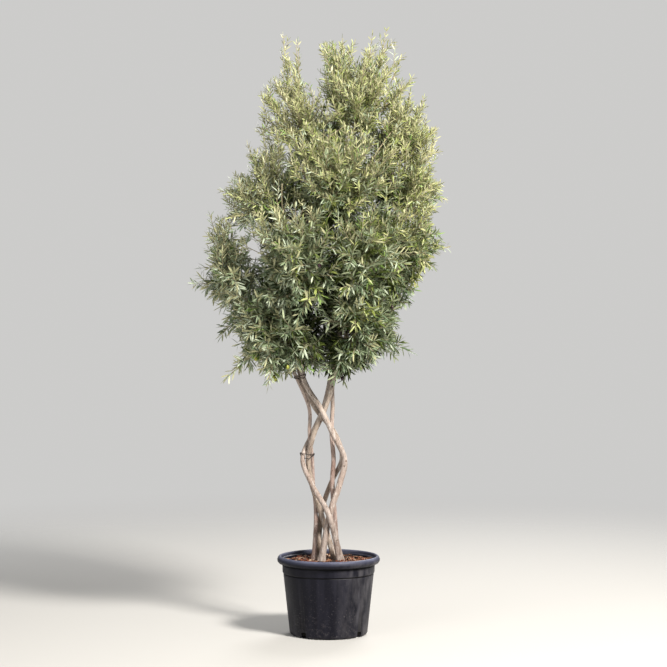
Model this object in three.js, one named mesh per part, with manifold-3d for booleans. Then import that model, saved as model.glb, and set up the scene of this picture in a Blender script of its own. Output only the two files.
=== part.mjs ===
// A potted olive tree in millimetres, +Z up: six slender stems plaited into an open lattice, tied twice,
// and carrying a full crown of leafy masses, in a round nursery pot.
// The origin is on the pot's axis, on its flat underside. The plait's front faces -Y.

import * as THREE from 'three';
import { mergeVertices } from 'three/addons/utils/BufferGeometryUtils.js';
import Module from 'manifold-3d';

const wasm = await Module();
wasm.setup();
const { Manifold } = wasm;

const gap = 0.3; // clearance between pieces that touch

// Pot, from its underside up
const potHeight = 333;
const potWall = 4;
const rimRadius = 218.7;
const rimDepth = 31;
const bandRadius = 197;
const bandFoot = 264; // the height of the step under the band
const bodyTopRadius = 190.5;
const bodyFootRadius = 166;
const footRounding = 13;
const floorThickness = 7;
const potSides = 32;
const drainSlot = { count: 4, first: -129, width: 25, height: 25, inset: 24 }; // first: degrees from +X
const footGap = { count: 8, first: -105, width: 30, height: 4, inset: 28 };

// Potting mix under a mulch of bark
const soilTop = 310;

// Plait: the heights where the stems cross, bend and meet
const crossLow = 504;
const bendHeight = 745;
const crossHigh = 960;
const crownFoot = 1096;
const plaitHeights = [soilTop, crossLow, 640, bendHeight, 850, crossHigh, crownFoot];
const footFlare = { growth: 0.32, height: 34 };

// Each stem: its radius at the soil and at the crown's foot, its place across (X) and in depth (Y) at each
// of the plait's heights, and the points that its leader then passes on the way up through the crown.
const stems = {
  front: {
    radius: [13.5, 11],
    across: [-31, 3, 47, 67, 20, -32, -109],
    depth: [-36, -38, -31, -25, -50, -62, -24],
    leader: [[-112, -52, 1290], [-92, -30, 1700], [-106, -14, 2040]],
    split: true,
  },
  outer_left: {
    radius: [13, 8],
    across: [50, 4, -72, -110, -70, -23, 8],
    depth: [-12, -65, -38, -8, 36, 32, 24],
    leader: [[36, 84, 1270], [112, 196, 1440]],
    split: true,
  },
  left_upright: {
    radius: [9.5, 7],
    across: [-61, -54, -66, -70, -81, -83, -139],
    depth: [0, 44, 32, 20, -2, 5, -8],
    leader: [[-212, -12, 1262], [-326, -14, 1420]],
    split: false,
  },
  inner_left: {
    radius: [12, 10],
    across: [28, -31, -72, -86, -63, -15, 25],
    depth: [24, 30, -2, -2, -26, -38, -24],
    leader: [[50, -58, 1290], [84, -36, 1700], [106, -4, 2080]],
    split: true,
  },
  right_upright: {
    radius: [11, 8.5],
    across: [37, 25, 16, 21, 13, 17, 22],
    depth: [60, 16, -3, 0, -5, -1, 1],
    leader: [[84, 22, 1300], [190, 40, 1680], [282, 36, 1990]],
    split: false,
  },
  back: {
    radius: [11, 9.5],
    across: [-46, -32, 12, 57, 27, -60, -121],
    depth: [34, 66, 38, 10, 36, 64, 8],
    leader: [[-122, 72, 1280], [-46, 128, 1580], [26, 150, 1790]],
    split: true,
  },
};
const leaderTipRadius = 4.5;
const sideBough = { reach: 0.56, rise: 0.3, foot: 0.72 }; // of the way to its mass, and of its leader's radius
const leaderRings = 9;
const sideRings = 4;

// Ties: a loop of wire round three stems at a height
const tieWire = 1.3; // radius
const ties = {
  tie_at_bend: { stems: ['outer_left', 'inner_left', 'left_upright'], height: 758 },
  tie_under_crown: { stems: ['front', 'back', 'left_upright'], height: 1092 },
};

// Crown: each mass of foliage has a centre, a reach along X, Y and Z, and the stem that carries it, by its
// leader's tip or by a side bough from a height. Whips are long shoots that end at a point of the outline.
const crown = {
  low_front_left: {
    centre: [-222, -140, 1290], reach: [205, 170, 175], stem: 'front', from: 1150, core: 0.74, olives: 3,
    whips: [[-432, -130, 1092], [-250, -190, 1066]],
  },
  low_front_right: {
    centre: [142, -190, 1312], reach: [165, 165, 165], stem: 'inner_left', from: 1150, core: 0.72, olives: 1,
    whips: [[345, -160, 1205], [20, -210, 1084]],
  },
  low_back_left: {
    centre: [-200, 180, 1300], reach: [205, 170, 175], stem: 'back', from: 1160, core: 0.74,
    whips: [[-380, 260, 1150]],
  },
  low_back_right: {
    centre: [152, 190, 1310], reach: [170, 170, 170], stem: 'outer_left', from: 1160, core: 0.72,
    whips: [[290, 290, 1170]],
  },
  far_left: {
    centre: [-436, -10, 1545], reach: [118, 185, 152], stem: 'left_upright', core: 0.56,
    whips: [[-577, -20, 1488], [-508, 20, 1786], [-446, -70, 1762], [-500, 150, 1640]],
  },
  middle_front_left: {
    centre: [-132, -245, 1590], reach: [190, 175, 185], stem: 'front', from: 1350, core: 0.76,
    whips: [[-150, -446, 1640]],
  },
  middle_front_right: {
    centre: [160, -240, 1610], reach: [190, 175, 185], stem: 'inner_left', from: 1380, core: 0.76,
    whips: [[190, -436, 1700]],
  },
  middle_right: {
    centre: [300, 10, 1650], reach: [170, 190, 185], stem: 'right_upright', from: 1420, core: 0.68,
    whips: [[518, -10, 1646], [440, -120, 1560], [430, 150, 1600]],
  },
  middle_back_right: {
    centre: [150, 265, 1610], reach: [190, 175, 185], stem: 'outer_left', core: 0.76,
    whips: [[170, 452, 1690]],
  },
  middle_back_left: {
    centre: [-140, 265, 1600], reach: [190, 175, 185], stem: 'back', from: 1380, core: 0.76,
    whips: [[-190, 456, 1650]],
  },
  upper_left: {
    centre: [-236, 0, 1890], reach: [185, 190, 160], stem: 'front', from: 1620, core: 0.74,
    whips: [[-454, -30, 1884], [-400, 70, 1956], [-343, -40, 2080]],
  },
  upper_front: {
    centre: [46, -190, 1930], reach: [190, 170, 185], stem: 'inner_left', from: 1680, core: 0.72,
    whips: [[40, -366, 2040]],
  },
  upper_right: {
    centre: [318, -10, 1925], reach: [150, 190, 155], stem: 'right_upright', from: 1640, core: 0.6,
    whips: [[476, -30, 1914], [496, 50, 1850]],
  },
  upper_back: {
    centre: [40, 205, 1940], reach: [190, 170, 185], stem: 'back', core: 0.72,
    whips: [[-60, 380, 2030]],
  },
  top_left: {
    centre: [-122, -10, 2210], reach: [125, 165, 190], stem: 'front', core: 0.6,
    whips: [[-194, -30, 2545], [-130, 14, 2520], [-288, -20, 2290], [-232, 60, 2360]],
  },
  top_centre: {
    centre: [112, 0, 2290], reach: [150, 170, 210], stem: 'inner_left', core: 0.62,
    whips: [[249, 0, 2579], [58, -30, 2534], [188, 40, 2560], [20, 90, 2480]],
  },
  top_right: {
    centre: [306, 30, 2130], reach: [130, 165, 160], stem: 'right_upright', core: 0.5,
    whips: [[462, 50, 2150], [407, 20, 2282], [345, -70, 2300]],
  },
};
const shootsInMass = 20; // tried in each mass; those that would leave its space are skipped
const leafLength = 176;
const leafWidth = 50;
const leafThickness = 4;
const shootRadius = [3.4, 1.9]; // at its foot and under its last leaf
const massMargin = 1.2; // half the clearance between neighbouring masses
const limbMargin = 1.5; // clearance of leaves and shoots from the limbs
const olive = { radius: 9, drop: 7 }; // drop: of its centre under the shoot that it hangs from
const leafClearance = 19; // between the midribs of leaves of one mass
const coreClearance = 3; // from the limbs

const bark = new THREE.MeshStandardMaterial({ color: 0xb9a994, roughness: 0.85, metalness: 0 });
const leafGreen = new THREE.MeshStandardMaterial({ color: 0x6f7f52, roughness: 0.6, metalness: 0 });
const potPlastic = new THREE.MeshStandardMaterial({ color: 0x26272c, roughness: 0.5, metalness: 0 });
const mulch = new THREE.MeshStandardMaterial({ color: 0x5b3a26, roughness: 0.95, metalness: 0 });
const darkWire = new THREE.MeshStandardMaterial({ color: 0x2b2522, roughness: 0.6, metalness: 0.3 });

const degree = Math.PI / 180;
const up = new THREE.Vector3(0, 0, 1);
const mix = (a, b, share) => a + (b - a) * share;
const vector = ([x, y, z]) => new THREE.Vector3(x, y, z);

// A repeatable number from 0 to 1 for a seed and a step.
function chance(seed, step) {
  const wave = Math.sin(seed * 12.9898 + step * 78.233) * 43758.5453;
  return wave - Math.floor(wave);
}

function solidFrom(geometry) {
  const bare = new THREE.BufferGeometry();
  bare.setAttribute('position', geometry.getAttribute('position'));
  bare.setIndex(geometry.index);
  const merged = mergeVertices(bare, 1e-4);
  return new Manifold(new wasm.Mesh({
    numProp: 3,
    vertProperties: merged.attributes.position.array,
    triVerts: new Uint32Array(merged.index.array),
  }));
}

function largestBody(solid) {
  return solid.decompose().reduce((a, b) => (b.volume() > a.volume() ? b : a));
}

function geometryFrom(solid) {
  const mesh = solid.getMesh();
  const geometry = new THREE.BufferGeometry();
  geometry.setAttribute('position', new THREE.BufferAttribute(mesh.vertProperties, 3));
  geometry.setIndex(new THREE.BufferAttribute(mesh.triVerts, 1));
  geometry.computeVertexNormals();
  return geometry;
}

function polyhedron(corners, faces) {
  const geometry = new THREE.BufferGeometry();
  const places = corners.flatMap((corner) => corner.toArray());
  geometry.setAttribute('position', new THREE.Float32BufferAttribute(places, 3));
  geometry.setIndex(faces.flat());
  return geometry;
}

const root = new THREE.Group();

function addPiece(name, solid, material) {
  const mesh = new THREE.Mesh(geometryFrom(solid), material);
  mesh.name = name;
  root.add(mesh);
}

// A limb: rings of corners across its centre line, each turned as little as can be from the last, between
// flat ends. With a blade it ends in a leaf: one more ring, wide and thin, and then the leaf's tip.
function limb(points, tangents, radii, sides, blade) {
  const corners = [];
  const faces = [];
  let across = new THREE.Vector3(0, -1, 0.37);
  if (blade) across.applyAxisAngle(up, blade.turn);
  const addRing = (point, tangent, thin, wide) => {
    across = across.addScaledVector(tangent, -across.dot(tangent)).normalize();
    const along = new THREE.Vector3().crossVectors(tangent, across);
    for (let j = 0; j < sides; j++) {
      const angle = (j / sides) * 2 * Math.PI;
      corners.push(point.clone()
        .addScaledVector(across, thin * Math.cos(angle))
        .addScaledVector(along, wide * Math.sin(angle)));
    }
  };
  points.forEach((point, i) => addRing(point, tangents[i], radii[i], radii[i]));
  if (blade) addRing(blade.waist, tangents.at(-1), 0.66 * leafThickness, 0.58 * leafWidth);
  const last = corners.length - sides;
  for (let j = 0; j < sides; j++) {
    const next = (j + 1) % sides;
    for (let ring = 0; ring < last; ring += sides) {
      const above = ring + sides;
      faces.push([ring + j, ring + next, above + next], [ring + j, above + next, above + j]);
    }
    if (j > 0 && j < sides - 1) faces.push([0, j + 1, j]);
    if (blade) faces.push([last + j, last + next, last + sides]);
    else if (j > 0 && j < sides - 1) faces.push([last, last + j, last + j + 1]);
  }
  if (blade) corners.push(blade.tip);
  return polyhedron(corners, faces);
}

// The stretch of a curve between two shares of its length, as a limb.
function limbAlong(curve, start, end, radiusAt, rings, sides, blade) {
  const shares = Array.from({ length: rings + 1 }, (_, i) => mix(start, end, i / rings));
  const points = shares.map((share) => curve.getPointAt(share));
  const tangents = shares.map((share) => curve.getTangentAt(share));
  return limb(points, tangents, shares.map(radiusAt), sides, blade);
}

// The share of a rising curve's length at which it reaches a height.
function shareAtHeight(curve, height) {
  let low = 0;
  let high = 1;
  for (let i = 0; i < 40; i++) {
    const middle = (low + high) / 2;
    if (curve.getPointAt(middle).z < height) low = middle;
    else high = middle;
  }
  return low;
}

// Pot

function turned(profile) {
  return solidFrom(new THREE.LatheGeometry(profile.map(([r, z]) => new THREE.Vector2(r, z)), potSides)
    .rotateX(Math.PI / 2));
}

function insideRadius(height) {
  const share = (height - footRounding) / (bandFoot - footRounding);
  return mix(bodyFootRadius, bodyTopRadius, share) - potWall;
}

function potSolid() {
  const footArc = [30, 60].map((turn) => [
    bodyFootRadius - footRounding * (1 - Math.sin(turn * degree)),
    footRounding * (1 - Math.cos(turn * degree)),
  ]);
  const rimFoot = potHeight - rimDepth;
  const profile = [
    [0, 0], [bodyFootRadius - footRounding, 0], ...footArc, [bodyFootRadius, footRounding],
    [bodyTopRadius, bandFoot - 3], [bandRadius, bandFoot + 2], [bandRadius + 1, rimFoot + 3],
    [rimRadius - 3.5, rimFoot], [rimRadius - 0.6, rimFoot + 2.5], [rimRadius, potHeight - 14],
    [rimRadius - 2.5, potHeight - 4.5], [rimRadius - 8, potHeight],
    [rimRadius - 14, potHeight - 1.5], [bandRadius + 1 - potWall, rimFoot + 6],
    [bandRadius - potWall, bandFoot + 3], [bodyTopRadius - potWall, bandFoot - 4],
    [insideRadius(footRounding), footRounding], [insideRadius(footRounding) - 7, floorThickness],
    [0, floorThickness],
  ];
  const cuts = [drainSlot, footGap].flatMap(({ count, first, width, height, inset }) =>
    Array.from({ length: count }, (_, i) => {
      const cut = new THREE.BoxGeometry(60, width, 2 * height);
      cut.translate(bodyFootRadius - inset + 30, 0, 0);
      return solidFrom(cut.rotateZ((first + (i * 360) / count) * degree));
    }));
  return cuts.reduce((pot, cut) => pot.subtract(cut), turned(profile));
}

function soilSolid() {
  const clear = gap + 0.2;
  const foot = footRounding;
  const seat = floorThickness + gap;
  return turned([
    [0, seat], [insideRadius(foot) - 7 - clear, seat], [insideRadius(foot) - clear, foot + clear],
    [bodyTopRadius - potWall - clear, bandFoot - 4], [bandRadius - potWall - clear, bandFoot + 3 + clear],
    [bandRadius + 1 - potWall - clear, soilTop], [0, soilTop],
  ]);
}

addPiece('nursery_pot', potSolid(), potPlastic);
addPiece('potting_mix', soilSolid(), mulch);

// Stems, each one curve from the soil to its leader's tip

for (const stem of Object.values(stems)) {
  const plait = plaitHeights.map((height, i) => new THREE.Vector3(stem.across[i], stem.depth[i], height));
  stem.curve = new THREE.CatmullRomCurve3([...plait, ...stem.leader.map(vector)], false, 'catmullrom', 0.5);
  stem.curve.arcLengthDivisions = 800;
  stem.crownShare = shareAtHeight(stem.curve, crownFoot + 22);
  stem.radiusAt = (share) => {
    const height = stem.curve.getPointAt(share).z;
    const flare = 1 + footFlare.growth * Math.exp((soilTop - height) / footFlare.height);
    if (share <= stem.crownShare) return mix(...stem.radius, share / stem.crownShare) * flare;
    return mix(stem.radius[1], leaderTipRadius, (share - stem.crownShare) / (1 - stem.crownShare));
  };
}

// A stem's lowest piece starts under the soil's surface and is cut flat just over it.
function footPiece(stem, end, rings, extra) {
  const { curve, radiusAt } = stem;
  const shares = Array.from({ length: rings + 1 }, (_, i) => mix(0, end, (i / rings) ** 1.35));
  const points = shares.map((share) => curve.getPointAt(share));
  const tangents = shares.map((share) => curve.getTangentAt(share));
  const radii = shares.map((share) => radiusAt(share) + extra);
  points.unshift(points[0].clone().addScaledVector(tangents[0], -20));
  tangents.unshift(tangents[0]);
  radii.unshift(radii[0] * 1.08);
  const ground = new THREE.BoxGeometry(300, 300, 60).translate(0, 0, soilTop + gap - 30);
  return solidFrom(limb(points, tangents, radii, 8)).subtract(solidFrom(ground));
}

// A stem's pieces and its leader, or with extra radius the room that they need.
function stemPieces(stem, extra = 0) {
  const { curve, crownShare, radiusAt, split } = stem;
  const halfGap = gap / 2 / curve.getLength();
  const wide = (share) => radiusAt(share) + extra;
  const leader = solidFrom(limbAlong(curve, crownShare + halfGap, 1, wide, leaderRings, 6));
  if (!split) return { stem: footPiece(stem, crownShare - halfGap, 16, extra), leader };
  const bend = shareAtHeight(curve, bendHeight);
  return {
    stem_lower: footPiece(stem, bend - halfGap, 9, extra),
    stem_upper: solidFrom(limbAlong(curve, bend + halfGap, crownShare - halfGap, wide, 9, 8)),
    leader,
  };
}

for (const [name, stem] of Object.entries(stems)) {
  const { leader, ...pieces } = stemPieces(stem);
  stem.leaderSolid = leader;
  stem.room = stemPieces(stem, gap + 0.05);
  for (const [piece, solid] of Object.entries(pieces)) addPiece(`${name}_${piece}`, solid, bark);
}

// Ties: the wire follows the stretched outline of the three stems' sections, across their mean direction

function tieSolid({ stems: names, height }) {
  const around = names.map((name) => {
    const { curve, radiusAt } = stems[name];
    const share = shareAtHeight(curve, height);
    return { point: curve.getPointAt(share), tangent: curve.getTangentAt(share), radius: radiusAt(share) };
  });
  const axis = around.reduce((sum, { tangent }) => sum.add(tangent), new THREE.Vector3()).normalize();
  const centre = around.reduce((sum, { point }) => sum.add(point), new THREE.Vector3()).divideScalar(3);
  const right = new THREE.Vector3(1, 0, 0).addScaledVector(axis, -axis.x).normalize();
  const back = new THREE.Vector3().crossVectors(axis, right);
  const discs = around.map(({ point, tangent, radius }) => {
    const toPlane = centre.clone().sub(point).dot(axis) / tangent.dot(axis);
    const seat = point.clone().addScaledVector(tangent, toPlane).sub(centre);
    const reach = radius / tangent.dot(axis) + gap + tieWire + 0.6;
    return { x: seat.dot(right), y: seat.dot(back), reach };
  });
  const steps = 20;
  const path = [];
  for (let i = 0; i < steps; i++) {
    const angle = ((i + 0.5) / steps) * 2 * Math.PI;
    const [c, s] = [Math.cos(angle), Math.sin(angle)];
    const outTo = (disc) => disc.x * c + disc.y * s + disc.reach;
    const furthest = discs.reduce((a, b) => (outTo(a) > outTo(b) ? a : b));
    path.push(centre.clone()
      .addScaledVector(right, furthest.x + furthest.reach * c)
      .addScaledVector(back, furthest.y + furthest.reach * s));
  }
  const corners = [];
  const faces = [];
  const section = [[-1, -2], [1, -2], [1, 2], [-1, 2]]; // two turns side by side, as one band
  path.forEach((point, i) => {
    const along = path[(i + 1) % steps].clone().sub(path[(i + steps - 1) % steps]).normalize();
    const outward = new THREE.Vector3().crossVectors(along, axis);
    section.forEach(([out, high], j) => {
      corners.push(point.clone()
        .addScaledVector(outward, out * tieWire)
        .addScaledVector(axis, high * tieWire));
      const here = i * 4;
      const next = ((i + 1) % steps) * 4;
      const k = (j + 1) % 4;
      faces.push([here + j, next + k, here + k], [here + j, next + j, next + k]);
    });
  });
  const room = names.flatMap((name) => Object.values(stems[name].room));
  return room.reduce((tie, limbRoom) => tie.subtract(limbRoom), solidFrom(polyhedron(corners, faces)));
}

for (const [name, tie] of Object.entries(ties)) addPiece(name, tieSolid(tie), darkWire);

// Boughs: each carries one mass; a leader goes on from its stem, a side bough leaves a leader's side

const limbs = []; // every limb's stretches between its rings, for the clearance of shoots and leaves
const limbRooms = []; // and the room that it needs where a core would touch it

function rememberLimb(curve, start, end, radiusAt, rings) {
  for (let i = 0; i < rings; i++) {
    const [from, to] = [i, i + 1].map((ring) => mix(start, end, ring / rings));
    const stretch = new THREE.Line3(curve.getPointAt(from), curve.getPointAt(to));
    limbs.push({ stretch, radius: radiusAt(from) });
  }
}

for (const stem of Object.values(stems)) {
  rememberLimb(stem.curve, stem.crownShare, 1, stem.radiusAt, leaderRings);
  rememberLimb(stem.curve, 0.6 * stem.crownShare, stem.crownShare, stem.radiusAt, 6);
  limbRooms.push(stemPieces(stem, coreClearance).leader);
}

for (const [name, mass] of Object.entries(crown)) {
  const stem = stems[mass.stem];
  mass.centrePoint = vector(mass.centre);
  mass.reachVector = vector(mass.reach);
  const { curve, radiusAt } = stem;
  if (mass.from === undefined) {
    mass.root = curve.getPointAt(1);
    mass.direction = curve.getTangentAt(1);
    mass.rootRadius = leaderTipRadius;
    addPiece(`${name}_bough`, stem.leaderSolid, bark);
    continue;
  }
  const share = shareAtHeight(curve, mass.from);
  const start = curve.getPointAt(share);
  const leaving = curve.getTangentAt(share);
  const distance = start.distanceTo(mass.centrePoint);
  const tip = start.clone().lerp(mass.centrePoint, sideBough.reach);
  const rising = start.clone().addScaledVector(leaving, sideBough.rise * distance);
  const side = new THREE.QuadraticBezierCurve3(start, rising, tip);
  const footRadius = sideBough.foot * radiusAt(share);
  const sideRadius = (s) => mix(footRadius, leaderTipRadius, s);
  mass.root = side.getPointAt(1);
  mass.direction = side.getTangentAt(1);
  mass.rootRadius = leaderTipRadius;
  const bough = solidFrom(limbAlong(side, 0, 1, sideRadius, sideRings, 6)).subtract(stem.room.leader);
  addPiece(`${name}_bough`, largestBody(bough), bark);
  rememberLimb(side, 0, 1, sideRadius, sideRings);
  limbRooms.push(solidFrom(limbAlong(side, 0, 1, (s) => sideRadius(s) + coreClearance, sideRings, 6)));
}

// Foliage

const masses = Object.entries(crown).map(([name, mass]) => ({ name, ...mass }));
for (const mass of masses) mass.weight = (mass.reach[0] * mass.reach[1] * mass.reach[2]) ** (2 / 3);

// A mass keeps to the points that are nearer to its centre than to any other's, counted with their sizes.
function inOwnSpace(mass, point) {
  const own = point.distanceToSquared(mass.centrePoint) - mass.weight;
  return masses.every((other) => {
    if (other === mass) return true;
    const theirs = point.distanceToSquared(other.centrePoint) - other.weight;
    return theirs - own > 2 * massMargin * mass.centrePoint.distanceTo(other.centrePoint);
  });
}

function clearOfLimbs(line, halfWidth) {
  return limbs.every(({ stretch, radius }) =>
    stretch.distanceSqToLine3(line) > (radius + halfWidth + limbMargin) ** 2);
}

// A blade flat underneath with a raised midrib: foot, left, tip, right in one plane, and the midrib's crest.
function leafBlade(foot, direction, roll, length) {
  const level = new THREE.Vector3().crossVectors(direction, up).normalize();
  const across = level.applyAxisAngle(direction, roll);
  const over = new THREE.Vector3().crossVectors(direction, across);
  const waist = foot.clone().addScaledVector(direction, 0.42 * length);
  const tip = foot.clone().addScaledVector(direction, length);
  const left = waist.clone().addScaledVector(across, -leafWidth / 2);
  const right = waist.clone().addScaledVector(across, leafWidth / 2);
  const crest = waist.clone().addScaledVector(over, leafThickness);
  return {
    corners: [foot, left, tip, right, crest],
    geometry: () => polyhedron([foot, left, tip, right, crest],
      [[0, 2, 1], [0, 3, 2], [0, 1, 4], [1, 2, 4], [2, 3, 4], [3, 0, 4]]),
  };
}

function shootCurve(start, tip, lift) {
  const bow = start.clone().lerp(tip, 0.5);
  bow.z -= lift * start.distanceTo(tip);
  return new THREE.QuadraticBezierCurve3(start, bow, tip);
}

// Adds a shoot to its mass, unless it is too short, would leave the mass's space or would touch a limb.
function growShoot(mass, curve, pairs, seed) {
  const length = curve.getLength();
  const lastLeaf = 1 - (0.8 * leafLength) / length;
  if (lastLeaf < 0.25) return;
  const rings = pairs > 2 ? 3 : 2;
  const marks = Array.from({ length: rings + 1 }, (_, i) => curve.getPointAt((lastLeaf * i) / rings));
  for (let i = 0; i < rings; i++) {
    const mid = marks[i].clone().lerp(marks[i + 1], 0.5);
    if (!inOwnSpace(mass, marks[i + 1]) || !inOwnSpace(mass, mid)) return;
    if (i > 0 && !clearOfLimbs(new THREE.Line3(marks[i], marks[i + 1]), shootRadius[0])) return;
  }
  if (!inOwnSpace(mass, curve.getPointAt(1))) return;
  if (!clearOfLimbs(new THREE.Line3(marks.at(-1), curve.getPointAt(1)), leafWidth / 2)) return;
  const shoot = { curve, lastLeaf, pairs, seed };
  marks.slice(1).forEach((mark, i) => mass.spans.push({ stretch: new THREE.Line3(marks[i], mark), shoot }));
  const waist = curve.getPointAt(mix(lastLeaf, 1, 0.4));
  const blade = { waist, tip: curve.getPointAt(1), turn: 6 * chance(seed, 90) };
  mass.spans.push({ stretch: new THREE.Line3(marks.at(-1), blade.tip), shoot });
  mass.pieces.push(limbAlong(curve, 0, lastLeaf, (s) => mix(...shootRadius, s / lastLeaf), rings, 3, blade));
  mass.shoots.push(shoot);
}

// Adds a leaf to its mass, unless it would leave the space, touch a limb or cross what has grown there.
function growLeaf(mass, shoot, pair, blade) {
  const [foot, , tip] = blade.corners;
  if (!blade.corners.every((corner) => inOwnSpace(mass, corner))) return;
  const midrib = new THREE.Line3(foot, tip);
  if (!clearOfLimbs(midrib, leafWidth / 2)) return;
  const outer = new THREE.Line3(foot.clone().lerp(tip, 0.3), tip);
  const crosses = mass.spans.some(({ stretch, shoot: other, pair: otherPair }) => {
    if (other === shoot && (otherPair === undefined || otherPair === pair)) return false;
    return stretch.distanceSqToLine3(outer) < leafClearance ** 2;
  });
  if (crosses) return;
  mass.spans.push({ stretch: midrib, shoot, pair });
  mass.pieces.push(blade.geometry());
}

// The leaves beside a shoot, in crossed pairs down from its tip.
function growLeaves(mass, shoot) {
  const { curve, lastLeaf, pairs, seed } = shoot;
  for (let pair = 0; pair < pairs; pair++) {
    const share = mix(0.94, 0.3, pair / pairs) * lastLeaf;
    const foot = curve.getPointAt(share);
    const along = curve.getTangentAt(share);
    const out = new THREE.Vector3().crossVectors(along, up).normalize()
      .applyAxisAngle(along, pair * 1.57 + chance(seed, 91) * 3.14);
    for (const way of [1, -1]) {
      const open = (40 + 22 * chance(seed, 10 * pair + way + 3)) * degree;
      const direction = along.clone().multiplyScalar(Math.cos(open))
        .addScaledVector(out, way * Math.sin(open));
      direction.z += 0.14;
      direction.normalize();
      const size = leafLength * mix(0.82, 1.08, chance(seed, 20 * pair + way + 7));
      const roll = (chance(seed, 30 * pair + way + 11) - 0.5) * 2.6;
      growLeaf(mass, shoot, pair, leafBlade(foot, direction, roll, size));
    }
  }
}

// An olive under a shoot, unless it would leave the space or touch a limb.
function hangOlive(mass, shoot, seed) {
  const place = shoot.curve.getPointAt(mix(0.35, 0.75, chance(seed, 70)) * shoot.lastLeaf);
  place.z -= olive.drop;
  if (!inOwnSpace(mass, place) || !clearOfLimbs(new THREE.Line3(place, place), olive.radius)) return;
  const ball = new THREE.IcosahedronGeometry(olive.radius, 0).scale(0.85, 0.85, 1);
  mass.pieces.push(ball.translate(...place));
}

// A mass's core is a ball of the share of its reach that `core` states, uneven and within its own space.
function coreGeometry(mass, seed) {
  const ball = new THREE.IcosahedronGeometry(1, 1);
  ball.deleteAttribute('normal');
  ball.deleteAttribute('uv');
  const core = mergeVertices(ball, 1e-4);
  const place = core.getAttribute('position');
  const corner = new THREE.Vector3();
  for (let i = 0; i < place.count; i++) {
    corner.fromBufferAttribute(place, i).multiply(mass.reachVector);
    corner.multiplyScalar(mass.core * mix(0.82, 1.14, chance(seed, 200 + i))).add(mass.centrePoint);
    while (!inOwnSpace(mass, corner)) corner.lerp(mass.centrePoint, 0.06);
    place.setXYZ(i, corner.x, corner.y, corner.z);
  }
  return core;
}

for (const mass of masses) {
  const start = mass.root.clone().addScaledVector(mass.direction, gap);
  const bend = start.clone().addScaledVector(mass.direction, 0.45 * start.distanceTo(mass.centrePoint));
  const top = mass.centrePoint.clone();
  top.z += 0.25 * mass.reachVector.z;
  mass.spine = new THREE.QuadraticBezierCurve3(start, bend, top);
  mass.spineSolid = (extra) =>
    limbAlong(mass.spine, 0, 1, (s) => mix(mass.rootRadius, shootRadius[0], s) + extra, 3, 5);
}

masses.forEach((mass, index) => {
  const { centrePoint, reachVector, spine } = mass;
  const seed = index + 1;
  mass.pieces = [mass.spineSolid(0)];
  mass.spans = [];
  mass.shoots = [];
  mass.whips.forEach((tip, i) => {
    const start = spine.getPointAt(mix(0.3, 0.9, (i + 0.5) / mass.whips.length));
    const lift = tip[2] < centrePoint.z - 0.5 * reachVector.z ? -0.1 : 0.05;
    growShoot(mass, shootCurve(start, vector(tip), lift), 3, seed * 31 + i);
  });
  for (let i = 0; i < shootsInMass; i++) {
    const height = 1 - (2 * (i + 0.5)) / shootsInMass;
    const turn = i * 2.39996 + seed;
    const flat = Math.sqrt(1 - height * height);
    const outward = new THREE.Vector3(Math.cos(turn) * flat, Math.sin(turn) * flat, height);
    const tip = outward.clone().multiply(reachVector).multiplyScalar(mix(0.98, 1.12, chance(seed, i)));
    const start = spine.getPointAt(mix(0.25, 0.95, chance(seed, i + 40)));
    growShoot(mass, shootCurve(start, tip.add(centrePoint), height < -0.4 ? -0.08 : 0.12), 2, seed * 57 + i);
  }
  for (const shoot of mass.shoots) growLeaves(mass, shoot);
  for (let i = 0; i < (mass.olives ?? 0); i++) hangOlive(mass, mass.shoots[i], seed + i);
  const solids = mass.pieces.map(solidFrom);
  const otherSpines = masses.filter((other) => other !== mass)
    .map((other) => solidFrom(other.spineSolid(coreClearance)));
  const core = solidFrom(coreGeometry(mass, seed));
  solids.push([...limbRooms, ...otherSpines].reduce((left, room) => left.subtract(room), core));
  addPiece(`${mass.name}_foliage`, largestBody(Manifold.union(solids)), leafGreen);
});

export default root;
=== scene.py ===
# A potted olive tree with a plaited trunk, for Blender 4.5. In metres, +Z is up and the viewer is at -Y.
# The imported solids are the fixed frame. Limbs, twigs and leaves grow here by the rule that grew the solids.

import math

import bpy
import numpy as np
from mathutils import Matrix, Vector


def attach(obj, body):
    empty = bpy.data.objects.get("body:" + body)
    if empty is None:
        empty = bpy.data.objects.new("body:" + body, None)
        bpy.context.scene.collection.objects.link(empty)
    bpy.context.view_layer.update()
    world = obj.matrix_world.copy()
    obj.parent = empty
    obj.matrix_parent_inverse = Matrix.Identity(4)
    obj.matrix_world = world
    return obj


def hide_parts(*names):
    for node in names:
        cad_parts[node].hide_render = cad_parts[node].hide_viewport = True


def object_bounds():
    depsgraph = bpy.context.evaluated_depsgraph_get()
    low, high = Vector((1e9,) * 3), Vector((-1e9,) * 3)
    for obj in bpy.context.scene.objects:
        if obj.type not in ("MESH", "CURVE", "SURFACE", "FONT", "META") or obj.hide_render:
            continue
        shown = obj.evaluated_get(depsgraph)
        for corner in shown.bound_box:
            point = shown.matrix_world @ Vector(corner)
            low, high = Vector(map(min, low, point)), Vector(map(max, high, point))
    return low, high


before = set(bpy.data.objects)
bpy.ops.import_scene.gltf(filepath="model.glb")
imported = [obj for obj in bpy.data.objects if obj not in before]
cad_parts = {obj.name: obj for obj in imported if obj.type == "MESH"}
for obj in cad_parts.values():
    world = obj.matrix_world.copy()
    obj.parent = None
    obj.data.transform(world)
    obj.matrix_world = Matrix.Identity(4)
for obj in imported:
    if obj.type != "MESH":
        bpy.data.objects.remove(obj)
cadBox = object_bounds()
print("frame loaded with", len(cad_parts), "nodes")

mm = 0.001
goldenAngle = 2.39996


# Numbers and curves

def mix(a, b, share):
    return a + (b - a) * share


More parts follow.
